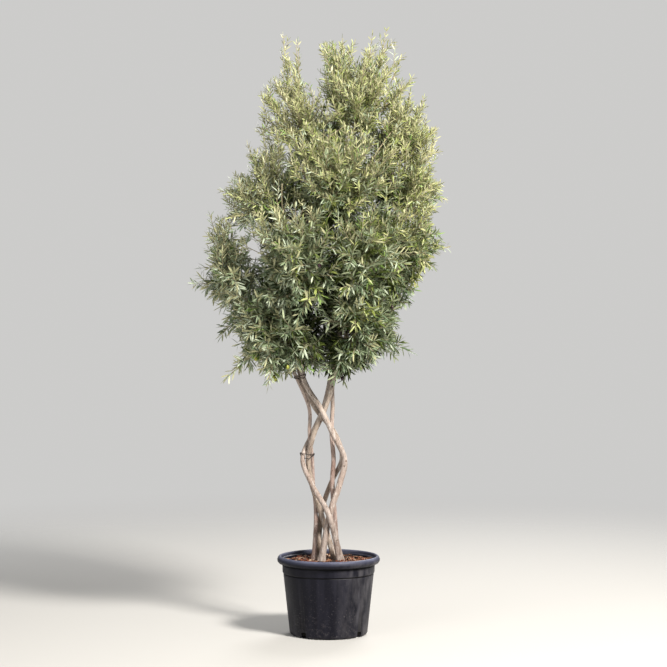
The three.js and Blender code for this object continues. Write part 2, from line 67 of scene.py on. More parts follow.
def unit(vectors):
    return vectors / np.maximum(np.linalg.norm(vectors, axis=-1, keepdims=True), 1e-9)


def chance(seed, step):
    # A repeatable number from 0 to 1: the fraction of sin(12.9898 seed + 78.233 step) * 43758.5453.
    # The steps in the calls have no meaning of their own, they only keep the draws apart.
    wave = np.sin(np.asarray(seed) * 12.9898 + np.asarray(step) * 78.233) * 43758.5453
    return wave - np.floor(wave)


def turns(count):  # evenly spaced angles round a circle
    return np.arange(count) / count * 2 * np.pi


def bowAt(t, start, bow, tip):  # (1-t)^2 start + 2t(1-t) bow + t^2 tip
    return (1 - t) ** 2 * start + 2 * t * (1 - t) * bow + t**2 * tip


def bowThrough(start, bow, tip, steps):  # one bow or a row of them: (..., steps, 3)
    t = np.linspace(0, 1, steps)[:, None]
    return bowAt(t, *(np.asarray(p, float)[..., None, :] for p in (start, bow, tip)))


def curveThrough(points, steps=60):
    # Each span is the cubic whose slope at a point is half the way from the point before it to the one after.
    points = np.asarray(points, float)
    padded = np.vstack([2 * points[0] - points[1], points, 2 * points[-1] - points[-2]])
    before, start, end, after = padded[:-3], padded[1:-2], padded[2:-1], padded[3:]
    leave, arrive = (end - before) / 2, (after - start) / 2
    t = np.linspace(0, 1, steps, endpoint=False)[:, None, None]
    bend = 3 * (end - start) - 2 * leave - arrive
    ease = 2 * (start - end) + leave + arrive
    spans = start + leave * t + bend * t**2 + ease * t**3
    return np.vstack([spans.transpose(1, 0, 2).reshape(-1, 3), points[-1]])


def wayAlong(line):  # the length of the line up to each of its points
    return np.concatenate([[0], np.cumsum(np.linalg.norm(np.diff(line, axis=0), axis=1))])


def along(line, shares):  # the places at shares of a line's length, the directions there, and that length
    way = wayAlong(line)
    wanted = np.asarray(shares) * way[-1]

    def placeAt(distance):
        return np.stack([np.interp(distance, way, line[:, k]) for k in range(3)], -1)

    step = 0.004 * way[-1]  # the direction is read between two places this far to either side
    ahead = placeAt(np.minimum(wanted + step, way[-1]))
    behind = placeAt(np.maximum(wanted - step, 0))
    return placeAt(wanted), unit(ahead - behind), way[-1]


def shareAtHeight(line, height):  # for a line that only rises
    way = wayAlong(line)
    return float(np.interp(height, line[:, 2], way / way[-1]))


# Meshes

def addMesh(name, vertices, faceSets, materials, smooth=True, faceMaterial=None):
    # faceSets: arrays of corner numbers, one row a face, each array with its own number of corners.
    mesh = bpy.data.meshes.new(name)
    places = np.asarray(vertices, np.float32).reshape(-1)
    corners = np.concatenate([np.asarray(faces).reshape(-1) for faces in faceSets]).astype(np.int32)
    sizes = np.concatenate([np.full(len(faces), len(faces[0])) for faces in faceSets])
    mesh.vertices.add(len(places) // 3)
    mesh.vertices.foreach_set("co", places)
    mesh.loops.add(len(corners))
    mesh.loops.foreach_set("vertex_index", corners)
    mesh.polygons.add(len(sizes))
    mesh.polygons.foreach_set("loop_start", (np.cumsum(sizes) - sizes).astype(np.int32))
    for material in materials:
        mesh.materials.append(material)
    if faceMaterial is not None:
        mesh.polygons.foreach_set("material_index", np.asarray(faceMaterial, np.int32))
    mesh.polygons.foreach_set("use_smooth", np.full(len(sizes), smooth))
    mesh.update(calc_edges=True)
    mesh.validate()
    piece = bpy.data.objects.new(name, mesh)
    bpy.context.scene.collection.objects.link(piece)
    return piece


def place(piece, slotName, *nodes):
    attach(piece, "root")
    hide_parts(*nodes)
    return piece


def quadsBetween(ring, after, sides):  # the first corners of some rings, and of the ring each is joined to
    j = np.arange(sides)[None]
    k = (j + 1) % sides
    return np.stack([ring + j, ring + k, after + k, after + j], -1).reshape(-1, 4)


def ringFaces(count, sides):  # quads between neighbouring rings and a flat cap at each end
    first = np.arange(count)[:, None] * sides
    corners = np.arange(sides)[None]
    return [quadsBetween(first[:-1], first[1:], sides), corners[:, ::-1], first[-1:] + corners]


def addRings(name, rings, material):
    return addMesh(name, rings, ringFaces(*rings.shape[:2]), [material])


def ringsAcross(points, directions, radii, sides, hint):
    # A ring is point + radius (cos(a) across + sin(a) over): across is the hint made square to the direction.
    across = unit(hint - directions * np.sum(directions * hint, -1, keepdims=True))
    over = np.cross(directions, across)
    angle = turns(sides)
    spokes = across[..., None, :] * np.cos(angle)[:, None] + over[..., None, :] * np.sin(angle)[:, None]
    return points[..., None, :] + spokes * radii[..., None]


def sideHint(chord):  # the axis that lies most nearly square to a chord, or to each of a row of chords
    return np.eye(3)[np.argmin(np.abs(chord), axis=-1)]


def joined(parts):  # several (vertices, [face arrays]) as one
    vertices, faceSets, offset = [], [], 0
    for places, faces in parts:
        vertices.append(places)
        faceSets += [part + offset for part in faces]
        offset += len(places)
    return np.concatenate(vertices), faceSets


def turnedRings(profile, sides):  # (r cos a, r sin a, z) for each point (r, z) of the profile
    angle = turns(sides)
    r, z = profile[:, :1], profile[:, 1:]
    return np.stack([r * np.cos(angle), r * np.sin(angle), np.broadcast_to(z, (len(profile), sides))], -1)


def roundedProfile(corners, radius):
    # Each corner becomes a bow that starts and ends one radius, or 0.4 of an edge, away from it.
    corners = np.asarray(corners, float)
    inner = corners[1:-1]
    back, ahead = corners[:-2] - inner, corners[2:] - inner
    backReach = np.minimum(radius, 0.4 * np.linalg.norm(back, axis=1))[:, None]
    aheadReach = np.minimum(radius, 0.4 * np.linalg.norm(ahead, axis=1))[:, None]
    t = np.linspace(0, 1, 5)[:, None, None]
    arcs = bowAt(t, inner + unit(back) * backReach, inner, inner + unit(ahead) * aheadReach)
    return np.vstack([corners[:1], arcs.transpose(1, 0, 2).reshape(-1, 2), corners[-1:]])


# Materials

def addNode(tree, kind, inputs=None, **settings):
    # A node's inputs are given by name or number: a value is set, the output of another node is linked.
    node = tree.nodes.new("ShaderNode" + kind)
    for key, value in settings.items():
        setattr(node, key, value)
    for key, value in (inputs or {}).items():
        if isinstance(value, bpy.types.NodeSocket):
            tree.links.new(value, node.inputs[key])
        else:
            node.inputs[key].default_value = value
    return node.outputs


def maskGroup():
    # patches: a noise, cut to run from 0 at Low to 1 at High.
    group = bpy.data.node_groups.new("patches", "ShaderNodeTree")
    for name, kind, value in (("Vector", "NodeSocketVector", (0, 0, 0)), ("Scale", "NodeSocketFloat", 20.0),
                              ("Detail", "NodeSocketFloat", 4.0), ("Low", "NodeSocketFloat", 0.45),
                              ("High", "NodeSocketFloat", 0.6)):
        socket = group.interface.new_socket(name=name, in_out="INPUT", socket_type=kind)
        socket.default_value = value
    group.interface.new_socket(name="Mask", in_out="OUTPUT", socket_type="NodeSocketFloat")
    given, result = group.nodes.new("NodeGroupInput").outputs, group.nodes.new("NodeGroupOutput")
    noise = addNode(group, "TexNoise", {name: given[name] for name in ("Vector", "Scale", "Detail")})
    cut = addNode(group, "MapRange", {"Value": noise["Fac"], "From Min": given["Low"],
                                      "From Max": given["High"]})
    group.links.new(cut["Result"], result.inputs["Mask"])
    return group


patches = maskGroup()


# A Principled material that is built up in layers of colour over the object's own coordinates
class Finish:
    def __init__(self, name, color, roughness, specular=0.5):
        self.material = bpy.data.materials.new(name)
        self.material.use_nodes = True
        self.tree = self.material.node_tree
        self.shader = self.tree.nodes["Principled BSDF"].inputs
        self.color = (*color, 1)
        self.shader["Base Color"].default_value = self.color
        self.shader["Roughness"].default_value = roughness
        self.shader["Specular IOR Level"].default_value = specular

    def where(self):
        return addNode(self.tree, "TexCoord")["Object"]

    def mask(self, scale, low, high, stretch=(1, 1, 1), detail=4.0):
        vector = addNode(self.tree, "Mapping", {"Vector": self.where(), "Scale": stretch})["Vector"]
        return addNode(self.tree, "Group", {"Vector": vector, "Scale": scale, "Detail": detail, "Low": low,
                                            "High": high}, node_tree=patches)["Mask"]

    def placeMask(self, axis, full, none):  # 1 where the object's axis reads `full`, 0 where it reads `none`
        value = addNode(self.tree, "SeparateXYZ", {"Vector": self.where()})[axis]
        return addNode(self.tree, "MapRange", {"Value": value, "From Min": none, "From Max": full})["Result"]

    def product(self, a, b):
        return addNode(self.tree, "Math", {0: a, 1: b}, operation="MULTIPLY")["Value"]

    def layer(self, color, strength, pattern, *places):
        # pattern: what mask() takes, or None; places: what placeMask() takes, for each place that it keeps to
        masks = [self.placeMask(*spot) for spot in places]
        if pattern:
            masks.insert(0, self.mask(*pattern))
        amount = masks[0] if len(masks) == 1 else self.product(*masks)
        blend = {0: self.product(amount, strength), 6: self.color, 7: (*color, 1)}
        self.color = addNode(self.tree, "Mix", blend, data_type="RGBA")[2]
        self.tree.links.new(self.color, self.shader["Base Color"])

    def layers(self, table):
        for values in table.values():
            self.layer(*values)

    def rough(self, mask, low, high):
        cut = addNode(self.tree, "MapRange", {"Value": mask, "To Min": low, "To Max": high})
        self.tree.links.new(cut["Result"], self.shader["Roughness"])

    def bump(self, height, distance, strength=1.0):
        node = addNode(self.tree, "Bump", {"Height": height, "Distance": distance, "Strength": strength})
        self.tree.links.new(node["Normal"], self.shader["Normal"])


def barkFinish(name, light, shade, tint):
    finish = Finish(name, light, 0.72, 0.3)
    finish.layers({  # colour, strength, the pattern's scale, low, high, stretch and detail, and the places
        "streaks": (shade, 0.8, (50, 0.42, 0.64, (1, 1, 0.16), 6)),
        "blotches": (tint, 0.5, (18, 0.50, 0.68, (1, 1, 0.5))),
        # painted light: paler bark from 0.72 up to 1.42 m, fullest between 1.10 and 1.26 m, where the crown
        # shades the stems
        "paintedLightBand": ((0.610, 0.520, 0.445), 0.50, None, ("Z", 1.10, 0.72), ("Z", 1.26, 1.42)),
        "cracks": (tuple(0.4 * c for c in shade), 0.7, (150, 0.57, 0.68, (1, 1, 0.10), 3)),
        "pores": ((0.08, 0.055, 0.042), 0.6, (420, 0.62, 0.7, (1, 1, 0.45), 2)),
        "scurf": ((0.60, 0.56, 0.53), 0.6, (95, 0.55, 0.70, (1, 1, 0.4))),
    })
    finish.bump(finish.mask(210, 0.3, 0.7, (1, 1, 0.25), 6), 0.002, 0.8)
    return finish.material


barks = {  # light, shade and tint
    "cream": barkFinish("creamBark", (0.388, 0.324, 0.292), (0.225, 0.165, 0.135), (0.350, 0.262, 0.225)),
    "pink": barkFinish("pinkBark", (0.378, 0.284, 0.252), (0.215, 0.140, 0.116), (0.330, 0.250, 0.215)),
    "khaki": barkFinish("khakiBark", (0.345, 0.280, 0.235), (0.190, 0.138, 0.108), (0.260, 0.215, 0.165)),
}
knotBark = Finish("knotBark", (0.075, 0.045, 0.028), 0.85, 0.2).material
cutWood = Finish("cutWood", (0.42, 0.34, 0.26), 0.8, 0.2).material
twigBark = Finish("twigBark", (0.300, 0.255, 0.165), 0.75, 0.3).material

# From shade to pale, slate to mist, straw to cream and dull to silverPale the greens are darker and paler
# copies: painted shade and light.
leafGreens = {  # plain colours of the leaves' upper sides, dealt out by spray, and last of their undersides
    "shade": (0.021, 0.030, 0.005), "deep": (0.056, 0.076, 0.014), "grey": (0.118, 0.158, 0.037),
    "olive": (0.212, 0.253, 0.063), "pale": (0.350, 0.384, 0.158), "slate": (0.098, 0.140, 0.074),
    "sage": (0.186, 0.238, 0.140), "mist": (0.352, 0.406, 0.298), "straw": (0.240, 0.252, 0.080),
    "cream": (0.394, 0.392, 0.180), "fresh": (0.185, 0.290, 0.072), "yellow": (0.500, 0.440, 0.110),
    "dull": (0.092, 0.114, 0.052), "silver": (0.340, 0.390, 0.235), "silverPale": (0.495, 0.492, 0.283),
}
leafNames = list(leafGreens)
dullLeaf, glossyLeaf = (0.6, 0.15), (0.43, 0.42)  # roughness and specular level
leafMaterials = []
for name, color in leafGreens.items():
    gloss = dullLeaf if name in ("shade", "deep") else glossyLeaf
    leafMaterials.append(Finish(name + "Leaf", color, *gloss).material)
print("materials ready")


# Pot

pot = {
    "height": 0.333, "wall": 0.004, "rimRadius": 0.2187, "rimDepth": 0.031, "bandRadius": 0.197,
    "bandFoot": 0.264, "topRadius": 0.1925, "footRadius": 0.166, "footRounding": 0.013, "floor": 0.007,
    "capRadius": 0.02, "sides": 180, "groove": 0.0018, "rounding": 0.0022,
}
slots = {"count": 4, "first": -129, "width": 0.025, "height": 0.025, "inset": 0.024}
gaps = {"count": 8, "first": -105, "width": 0.030, "height": 0.004, "inset": 0.028}
cutDepth = 0.06  # how far a box that cuts a slot or gap reaches through the wall


def potProfile():
    # Radius and height of each corner: up the wall, over the rim and down the inside to the floor.
    p = pot
    inner = p["footRadius"] - p["wall"]
    rimFoot = p["height"] - p["rimDepth"]
    arc = np.radians(np.linspace(0, 90, 7))
    foot = np.stack([p["footRadius"] - p["footRounding"] * (1 - np.sin(arc)),
                     p["footRounding"] * (1 - np.cos(arc))], -1)
    rim, top = p["rimRadius"], p["height"]
    band, bandFoot, groove = p["bandRadius"], p["bandFoot"], p["groove"]
    upper = [
        [p["topRadius"], bandFoot - 0.008], [p["topRadius"] - groove, bandFoot - 0.006],
        [p["topRadius"] - groove, bandFoot - 0.002], [band - 0.001, bandFoot - 0.001],
        [band, rimFoot - 0.009], [band - groove, rimFoot - 0.007], [band - groove, rimFoot + 0.001],
        [rim - 0.006, rimFoot + 0.001], [rim - 0.001, rimFoot + 0.009], [rim, rimFoot + 0.015],
        [rim - 0.003, top - 0.006], [rim - 0.008, top - 0.001], [rim - 0.013, top],
        [rim - 0.0165, top - 0.003], [rim - 0.0175, top - 0.013], [band - 0.0035, top - 0.0165],
        [band - 0.004, bandFoot + 0.003], [p["topRadius"] - 0.004, bandFoot - 0.004],
        [inner, p["footRounding"]], [inner - 0.007, p["floor"]], [p["capRadius"], p["floor"]],
    ]
    outer = roundedProfile(np.vstack([foot[-1:], upper]), p["rounding"])
    underside = [[p["capRadius"], 0.0], [p["footRadius"] - p["footRounding"] - 0.004, 0.0]]
    return np.vstack([underside, foot, outer[1:]])


def cutBoxes(cuts):
    boxes = []
    for i in range(cuts["count"]):
        turn = math.radians(cuts["first"] + i * 360 / cuts["count"])
        middle = pot["footRadius"] - cuts["inset"] + cutDepth / 2
        bpy.ops.mesh.primitive_cube_add(size=1)
        box = bpy.context.object
        box.scale = (cutDepth, cuts["width"], 2 * cuts["height"])
        box.rotation_euler = (0, 0, turn)
        box.location = (middle * math.cos(turn), middle * math.sin(turn), 0)
        boxes.append(box)
    return boxes


def makePot():
    piece = addRings("pot_shell", turnedRings(potProfile(), pot["sides"]), potPlastic)
    boxes = cutBoxes(slots) + cutBoxes(gaps)
    bpy.context.view_layer.update()
    for box in boxes:
        cut = piece.modifiers.new("notch", "BOOLEAN")
        cut.object = box
        cut.solver = "EXACT"
    shaped = bpy.data.meshes.new_from_object(piece.evaluated_get(bpy.context.evaluated_depsgraph_get()))
    piece.modifiers.clear()
    piece.data = shaped
    for box in boxes:
        bpy.data.objects.remove(box)
    return place(piece, "pot_plastic", "nursery_pot")


def plasticFinish():
    plastic = Finish("charcoalPlastic", (0.0040, 0.0042, 0.0088), 0.42, 0.16)
    # painted shade: a near black for two thin lines, one in the groove under the band and one under the rim
    groove = (0.0012, 0.0012, 0.0018)
    plastic.layers({  # the same values as for bark
        "streaks": ((0.0122, 0.0122, 0.0205), 0.7, (30, 0.42, 0.62, (1, 1, 0.06))),
        # pale scuffs of dust on the right side only, partly painted light where the key falls on the pot
        "rightScuffsAndLight": ((0.116, 0.111, 0.124), 0.58, (34, 0.38, 0.72, (1, 1, 0.4), 8), ("X", 0.15, 0.02)),
        "footDust": ((0.060, 0.055, 0.060), 0.6, (60, 0.50, 0.7), ("Z", 0.0, 0.10)),
        "specks": ((0.16, 0.15, 0.15), 0.7, (230, 0.655, 0.71, (1, 1, 1), 2), ("Z", 0.0, 0.30)),
        # the rim: partly its own bluish colour, partly a painted highlight, paler towards its top
        "rim": ((0.052, 0.057, 0.092), 0.9, None, ("Z", 0.330, 0.312)),
        # painted highlight: a pale band in patches along the rim's upper edge
        "crestHighlight": ((0.118, 0.126, 0.190), 0.75, (12, 0.30, 0.62, (1, 1, 3)), ("Z", 0.3295, 0.3225)),
        # painted shade lines: in the groove under the band, and in the shadow under the rim
        "grooveShadeLine": (groove, 0.9, None, ("Z", 0.2573, 0.2565), ("Z", 0.2617, 0.2625)),
        "rimShadeLine": (groove, 0.9, None, ("Z", 0.2938, 0.2930), ("Z", 0.3017, 0.3025)),
    })
    plastic.rough(plastic.mask(14, 0.35, 0.7, (1, 1, 0.3)), 0.38, 0.56)
    plastic.bump(plastic.mask(900, 0.3, 0.7), 0.0003, 0.3)
    return plastic.material


potPlastic = plasticFinish()
makePot()
print("pot made")


# Mulch: a bed up to the chips and loose chips of bark on it

mulch = {"top": 0.3035, "radius": 0.1935, "rings": 26, "sides": 96}
mulchUnderside = [[0.02, 0.0078], [0.1535, 0.0078], [0.161, 0.0140], [0.1860, 0.2600], [0.1925, 0.2680]]
chips = {
    "count": 1500, "length": (0.010, 0.036), "width": (0.005, 0.013), "thickness": (0.0015, 0.005),
    "stack": 0.010, "edge": 0.014, "unevenness": 0.0006, "pitch": 0.22, "roll": 0.3, "seed": 7,
}
chipColors = {"russet": (0.175, 0.052, 0.026), "brown": (0.085, 0.034, 0.020), "dark": (0.024, 0.013, 0.010),
              "pale": (0.40, 0.29, 0.21), "tan": (0.22, 0.105, 0.058)}
chipShares = [0.32, 0.26, 0.18, 0.10, 0.14]


def makeBed():
    top = np.linspace(mulch["radius"], 0.012, mulch["rings"])
    level = np.full(mulch["rings"], mulch["top"])
    rings = turnedRings(np.vstack([mulchUnderside, np.stack([top, level], -1)]), mulch["sides"])
    upper = rings[len(mulchUnderside):]
    x, y = upper[..., 0], upper[..., 1]
    # z gains crossed waves of 1.5 mm and of 1 mm
    upper[..., 2] += 0.0015 * np.sin(190 * x + 60 * y) * np.cos(170 * y) + 0.001 * np.sin(420 * x - 310 * y)
    soil = Finish("pottingMix", (0.035, 0.022, 0.015), 0.95, 0.2)
    soil.layer((0.10, 0.045, 0.028), 0.8, (220, 0.45, 0.62))
    # painted shade: the mix is near black low in the pot, so that the slots at its foot show dark
    soil.layer((0.004, 0.0035, 0.003), 1.0, None, ("Z", 0.08, 0.12))
    soil.bump(soil.mask(300, 0.3, 0.7), 0.002)
    return place(addRings("mulch_bed", rings, soil.material), "bark_mulch", "potting_mix")


def makeChips():
    # A chip is a box with its ends drawn in, turned by a yaw, a pitch and a roll.
    n = chips["count"]
    rng = np.random.default_rng(chips["seed"])
    corners = np.array([[-0.5, -0.32, -0.5], [0.5, -0.5, -0.5], [0.42, 0.5, -0.5], [-0.5, 0.4, -0.5],
                        [-0.42, -0.25, 0.5], [0.4, -0.4, 0.5], [0.5, 0.3, 0.5], [-0.36, 0.5, 0.5]])
    faces = np.array([[0, 3, 2, 1], [4, 5, 6, 7], [0, 1, 5, 4], [1, 2, 6, 5], [2, 3, 7, 6], [3, 0, 4, 7]])
    size = np.stack([rng.uniform(*chips[key], n) for key in ("length", "width", "thickness")], -1)
    body = corners * size[:, None] + rng.normal(0, chips["unevenness"], (n, 8, 3))
    yaw = rng.uniform(0, 2 * np.pi, n)
    pitch, roll = (rng.normal(0, chips[key], n) for key in ("pitch", "roll"))
    ahead = np.stack([np.cos(yaw) * np.cos(pitch), np.sin(yaw) * np.cos(pitch), np.sin(pitch)], -1)
    aside = unit(np.cross([0, 0, 1], ahead))
    above = np.cross(ahead, aside)
    side = aside * np.cos(roll)[:, None] + above * np.sin(roll)[:, None]
    top = np.cross(ahead, side)
    r = (mulch["radius"] - chips["edge"]) * np.sqrt(rng.uniform(0, 1, n))
    turn = rng.uniform(0, 2 * np.pi, n)
    height = mulch["top"] + rng.uniform(0, chips["stack"], n)
    middle = np.stack([r * np.cos(turn), r * np.sin(turn), height], -1)
    places = (middle[:, None] + body[..., :1] * ahead[:, None] + body[..., 1:2] * side[:, None]
              + body[..., 2:] * top[:, None])
    allFaces = (np.arange(n)[:, None, None] * len(corners) + faces).reshape(-1, 4)
    materials = []
    for name, color in chipColors.items():
        chip = Finish(name + "Chip", color, 0.85, 0.25)
        chip.layer(tuple(0.45 * c for c in color), 0.8, (240, 0.45, 0.65))
        materials.append(chip.material)
    dealt = np.repeat(rng.choice(len(materials), n, p=chipShares), len(faces))
    piece = addMesh("bark_chips", places, [allFaces], materials, False, dealt)
    return place(piece, "bark_mulch", "potting_mix")


makeBed()
makeChips()
print("mulch made")


# Stems and their leaders

soilTop = 0.310
crownFoot = 1.096
plaitHeights = np.array([310, 504, 640, 745, 850, 960, 1096]) * mm
leaderTipRadius = 0.0045
stems = {
    # Radius at the soil and at the crown's foot, places across and in depth by height, the leader's points,
    # and each knot's height, turn from the front and size, in mm and degrees.
    "front": {
        "radius": [13.5, 11], "bark": "cream", "split": True,
        "across": [-31, 3, 47, 67, 20, -32, -109], "depth": [-36, -38, -31, -25, -50, -62, -24],
        "leader": [[-112, -52, 1290], [-92, -30, 1700], [-106, -14, 2040]],
        "knots": [[735, 20, 5.5], [713, -12, 5], [622, 40, 4], [560, -60, 4], [884, 10, 4.5], [1012, -20, 5]],
    },
    "outer_left": {
        "radius": [13, 8], "bark": "cream", "split": True,
        "across": [50, 4, -72, -110, -70, -23, 8], "depth": [-12, -65, -38, -8, 36, 32, 24],
        "leader": [[36, 84, 1270], [112, 196, 1440]],
        "knots": [[404, 25, 5.5], [560, -15, 4], [668, 15, 4.5], [730, -50, 4], [840, 10, 4]],
    },
    "left_upright": {
        "radius": [9.5, 7], "bark": "pink", "split": False,
        "across": [-61, -54, -66, -70, -81, -83, -139], "depth": [0, 44, 32, 20, -2, 5, -8],
        "leader": [[-212, -12, 1262], [-326, -14, 1420]],
        "knots": [[452, 0, 3.5], [610, 10, 4], [842, -15, 4], [930, 20, 3.5]],
    },
    "inner_left": {
        "radius": [12, 10], "bark": "khaki", "split": True,
        "across": [28, -31, -72, -86, -63, -15, 25], "depth": [24, 30, -2, -2, -26, -38, -24],
        "leader": [[50, -58, 1290], [84, -36, 1700], [106, -4, 2080]],
        "knots": [[436, 10, 4], [588, -20, 4.5], [800, 0, 4.5], [905, 25, 4], [1050, -10, 4.5]],
    },
    "right_upright": {
        "radius": [11, 8.5], "bark": "pink", "split": False,
        "across": [37, 25, 16, 21, 13, 17, 22], "depth": [60, 16, -3, 0, -5, -1, 1],
        "leader": [[84, 22, 1300], [190, 40, 1680], [282, 36, 1990]],
        "knots": [[580, 0, 4.5], [690, -20, 4], [795, 15, 4.5], [872, -5, 4]],
    },
    "back": {
        "radius": [11, 9.5], "bark": "khaki", "split": True,
        "across": [-46, -32, 12, 57, 27, -60, -121], "depth": [34, 66, 38, 10, 36, 64, 8],
        "leader": [[-122, 72, 1280], [-46, 128, 1580], [26, 150, 1790]],
        "knots": [[380, -10, 4], [690, 20, 4], [905, -15, 4]], "stub": [990, 60, 3.8, 15],
    },
}
stemMesh = {"rings": 330, "sides": 22, "buried": 0.016, "leaderFrom": 0.022}
relief = {  # each swelling's height as a share of the radius, and how far up the flutes and the flare reach
    "flutes": 0.045, "fluteReach": 0.5, "lobes": 0.03, "feet": 0.11, "feetReach": 0.045, "swellings": 0.018,
    "ripples": 0.01, "flare": 0.40, "flareReach": 0.038,
}
knotShape = {"swelling": 0.32, "dimple": 0.3, "dimpleWidth": 4, "darkWidth": 2.2, "shadedFrom": 0.5}
stubMesh = {"rings": 6, "sides": 10, "rise": 0.75, "taper": 0.3, "lip": 0.12}

crown = {  # each mass's centre, reach, the stem that carries it and from what height, and its long whips
    "low_front_left": [[-222, -140, 1290], [205, 170, 175], "front", 1150,
                       [[-432, -130, 1092], [-250, -190, 1066]]],
    "low_front_right": [[142, -190, 1312], [165, 165, 165], "inner_left", 1150,
                        [[345, -160, 1205], [20, -210, 1084]]],
    "low_back_left": [[-200, 180, 1300], [205, 170, 175], "back", 1160, [[-380, 260, 1150]]],
    "low_back_right": [[152, 190, 1310], [170, 170, 170], "outer_left", 1160, [[290, 290, 1170]]],
    "far_left": [[-436, -10, 1545], [118, 185, 152], "left_upright", None,
                 [[-577, -20, 1488], [-508, 20, 1786], [-446, -70, 1762], [-500, 150, 1640]]],
    "middle_front_left": [[-132, -245, 1590], [190, 175, 185], "front", 1350, [[-150, -446, 1640]]],
    "middle_front_right": [[160, -240, 1610], [190, 175, 185], "inner_left", 1380, [[190, -436, 1700]]],
    "middle_right": [[300, 10, 1650], [170, 190, 185], "right_upright", 1420,
                     [[518, -10, 1646], [440, -120, 1560], [430, 150, 1600]]],
    "middle_back_right": [[150, 265, 1610], [190, 175, 185], "outer_left", None, [[170, 452, 1690]]],
    "middle_back_left": [[-140, 265, 1600], [190, 175, 185], "back", 1380, [[-190, 456, 1650]]],
    "upper_left": [[-236, 0, 1890], [185, 190, 160], "front", 1620,
                   [[-454, -30, 1884], [-400, 70, 1956], [-343, -40, 2080]]],
    "upper_front": [[46, -190, 1930], [190, 170, 185], "inner_left", 1680, [[40, -366, 2040]]],
    "upper_right": [[318, -10, 1925], [150, 190, 155], "right_upright", 1640,
                    [[476, -30, 1914], [496, 50, 1850]]],
    "upper_back": [[40, 205, 1940], [190, 170, 185], "back", None, [[-60, 380, 2030]]],
    "top_left": [[-122, -10, 2210], [125, 165, 190], "front", None,
                 [[-194, -30, 2545], [-138, 14, 2520], [-288, -20, 2290], [-232, 60, 2360]]],
    "top_centre": [[112, 0, 2290], [150, 170, 210], "inner_left", None,
                   [[249, 0, 2579], [58, -30, 2534], [188, 40, 2560], [20, 90, 2480]]],
    "top_right": [[306, 30, 2130], [130, 165, 160], "right_upright", None,
                  [[462, 50, 2150], [407, 20, 2282], [345, -70, 2300]]],
}
sideBough = {"reach": 0.56, "rise": 0.3, "foot": 0.72, "steps": 80, "rings": 60, "sides": 14,
             "fluteStart": 0.8}


def stemRadius(stem, height, share):
    # It tapers to the crown's foot and from there to the leader's tip, and flares at the soil.
    low, high = np.array(stem["radius"]) * mm
    flare = np.exp((soilTop - np.maximum(height, soilTop - 0.01)) / relief["flareReach"])
    below = mix(low, high, share / stem["crownShare"]) * (1 + relief["flare"] * flare)
    above = mix(high, leaderTipRadius, (share - stem["crownShare"]) / (1 - stem["crownShare"]))
    return np.where(share <= stem["crownShare"], below, above)


def barkRelief(radii, distance, angle, phase):
    # Slow flutes of 3 and 2 lobes that wander up the stem, 5 roots at its foot, fine swellings every few cm.
    flutes = relief["flutes"] * np.cos(3 * angle + 2.2 * np.sin(3.1 * distance + phase))
    flutes *= np.exp(-distance / relief["fluteReach"])
    lobes = relief["lobes"] * np.cos(2 * angle + 9 * distance + phase)
    feet = relief["feet"] * np.cos(5 * angle + 2 * phase) * np.exp(-distance / relief["feetReach"])
    swellings = relief["swellings"] * np.sin(61 * distance + 2 * np.sin(angle + phase))
    swellings = swellings + relief["ripples"] * np.sin(173 * distance + 3 * angle)
    return radii * (1 + flutes + lobes + feet + swellings)


def stubTube(line, stem):
    # A short tapered end of a cut shoot, told as height, turn from the front, radius and length.
    height, turn, radius, length = stem["stub"]
    turn = math.radians(turn)
    point, _, _ = along(line, [shareAtHeight(line, height * mm)])
    aim = unit(np.array([math.sin(turn), -math.cos(turn), stubMesh["rise"]]))
    t = np.linspace(0, 1, stubMesh["rings"])[:, None]
    points = point[0] + aim * t * length * mm
    radii = radius * mm * (1.15 - stubMesh["taper"] * t + stubMesh["lip"] * (t > 0.9))
    rings = ringsAcross(points, np.broadcast_to(aim, points.shape), radii, stubMesh["sides"],
                        np.array([1.0, 0.3, 0.0]))
    return rings.reshape(-1, 3), ringFaces(*rings.shape[:2])


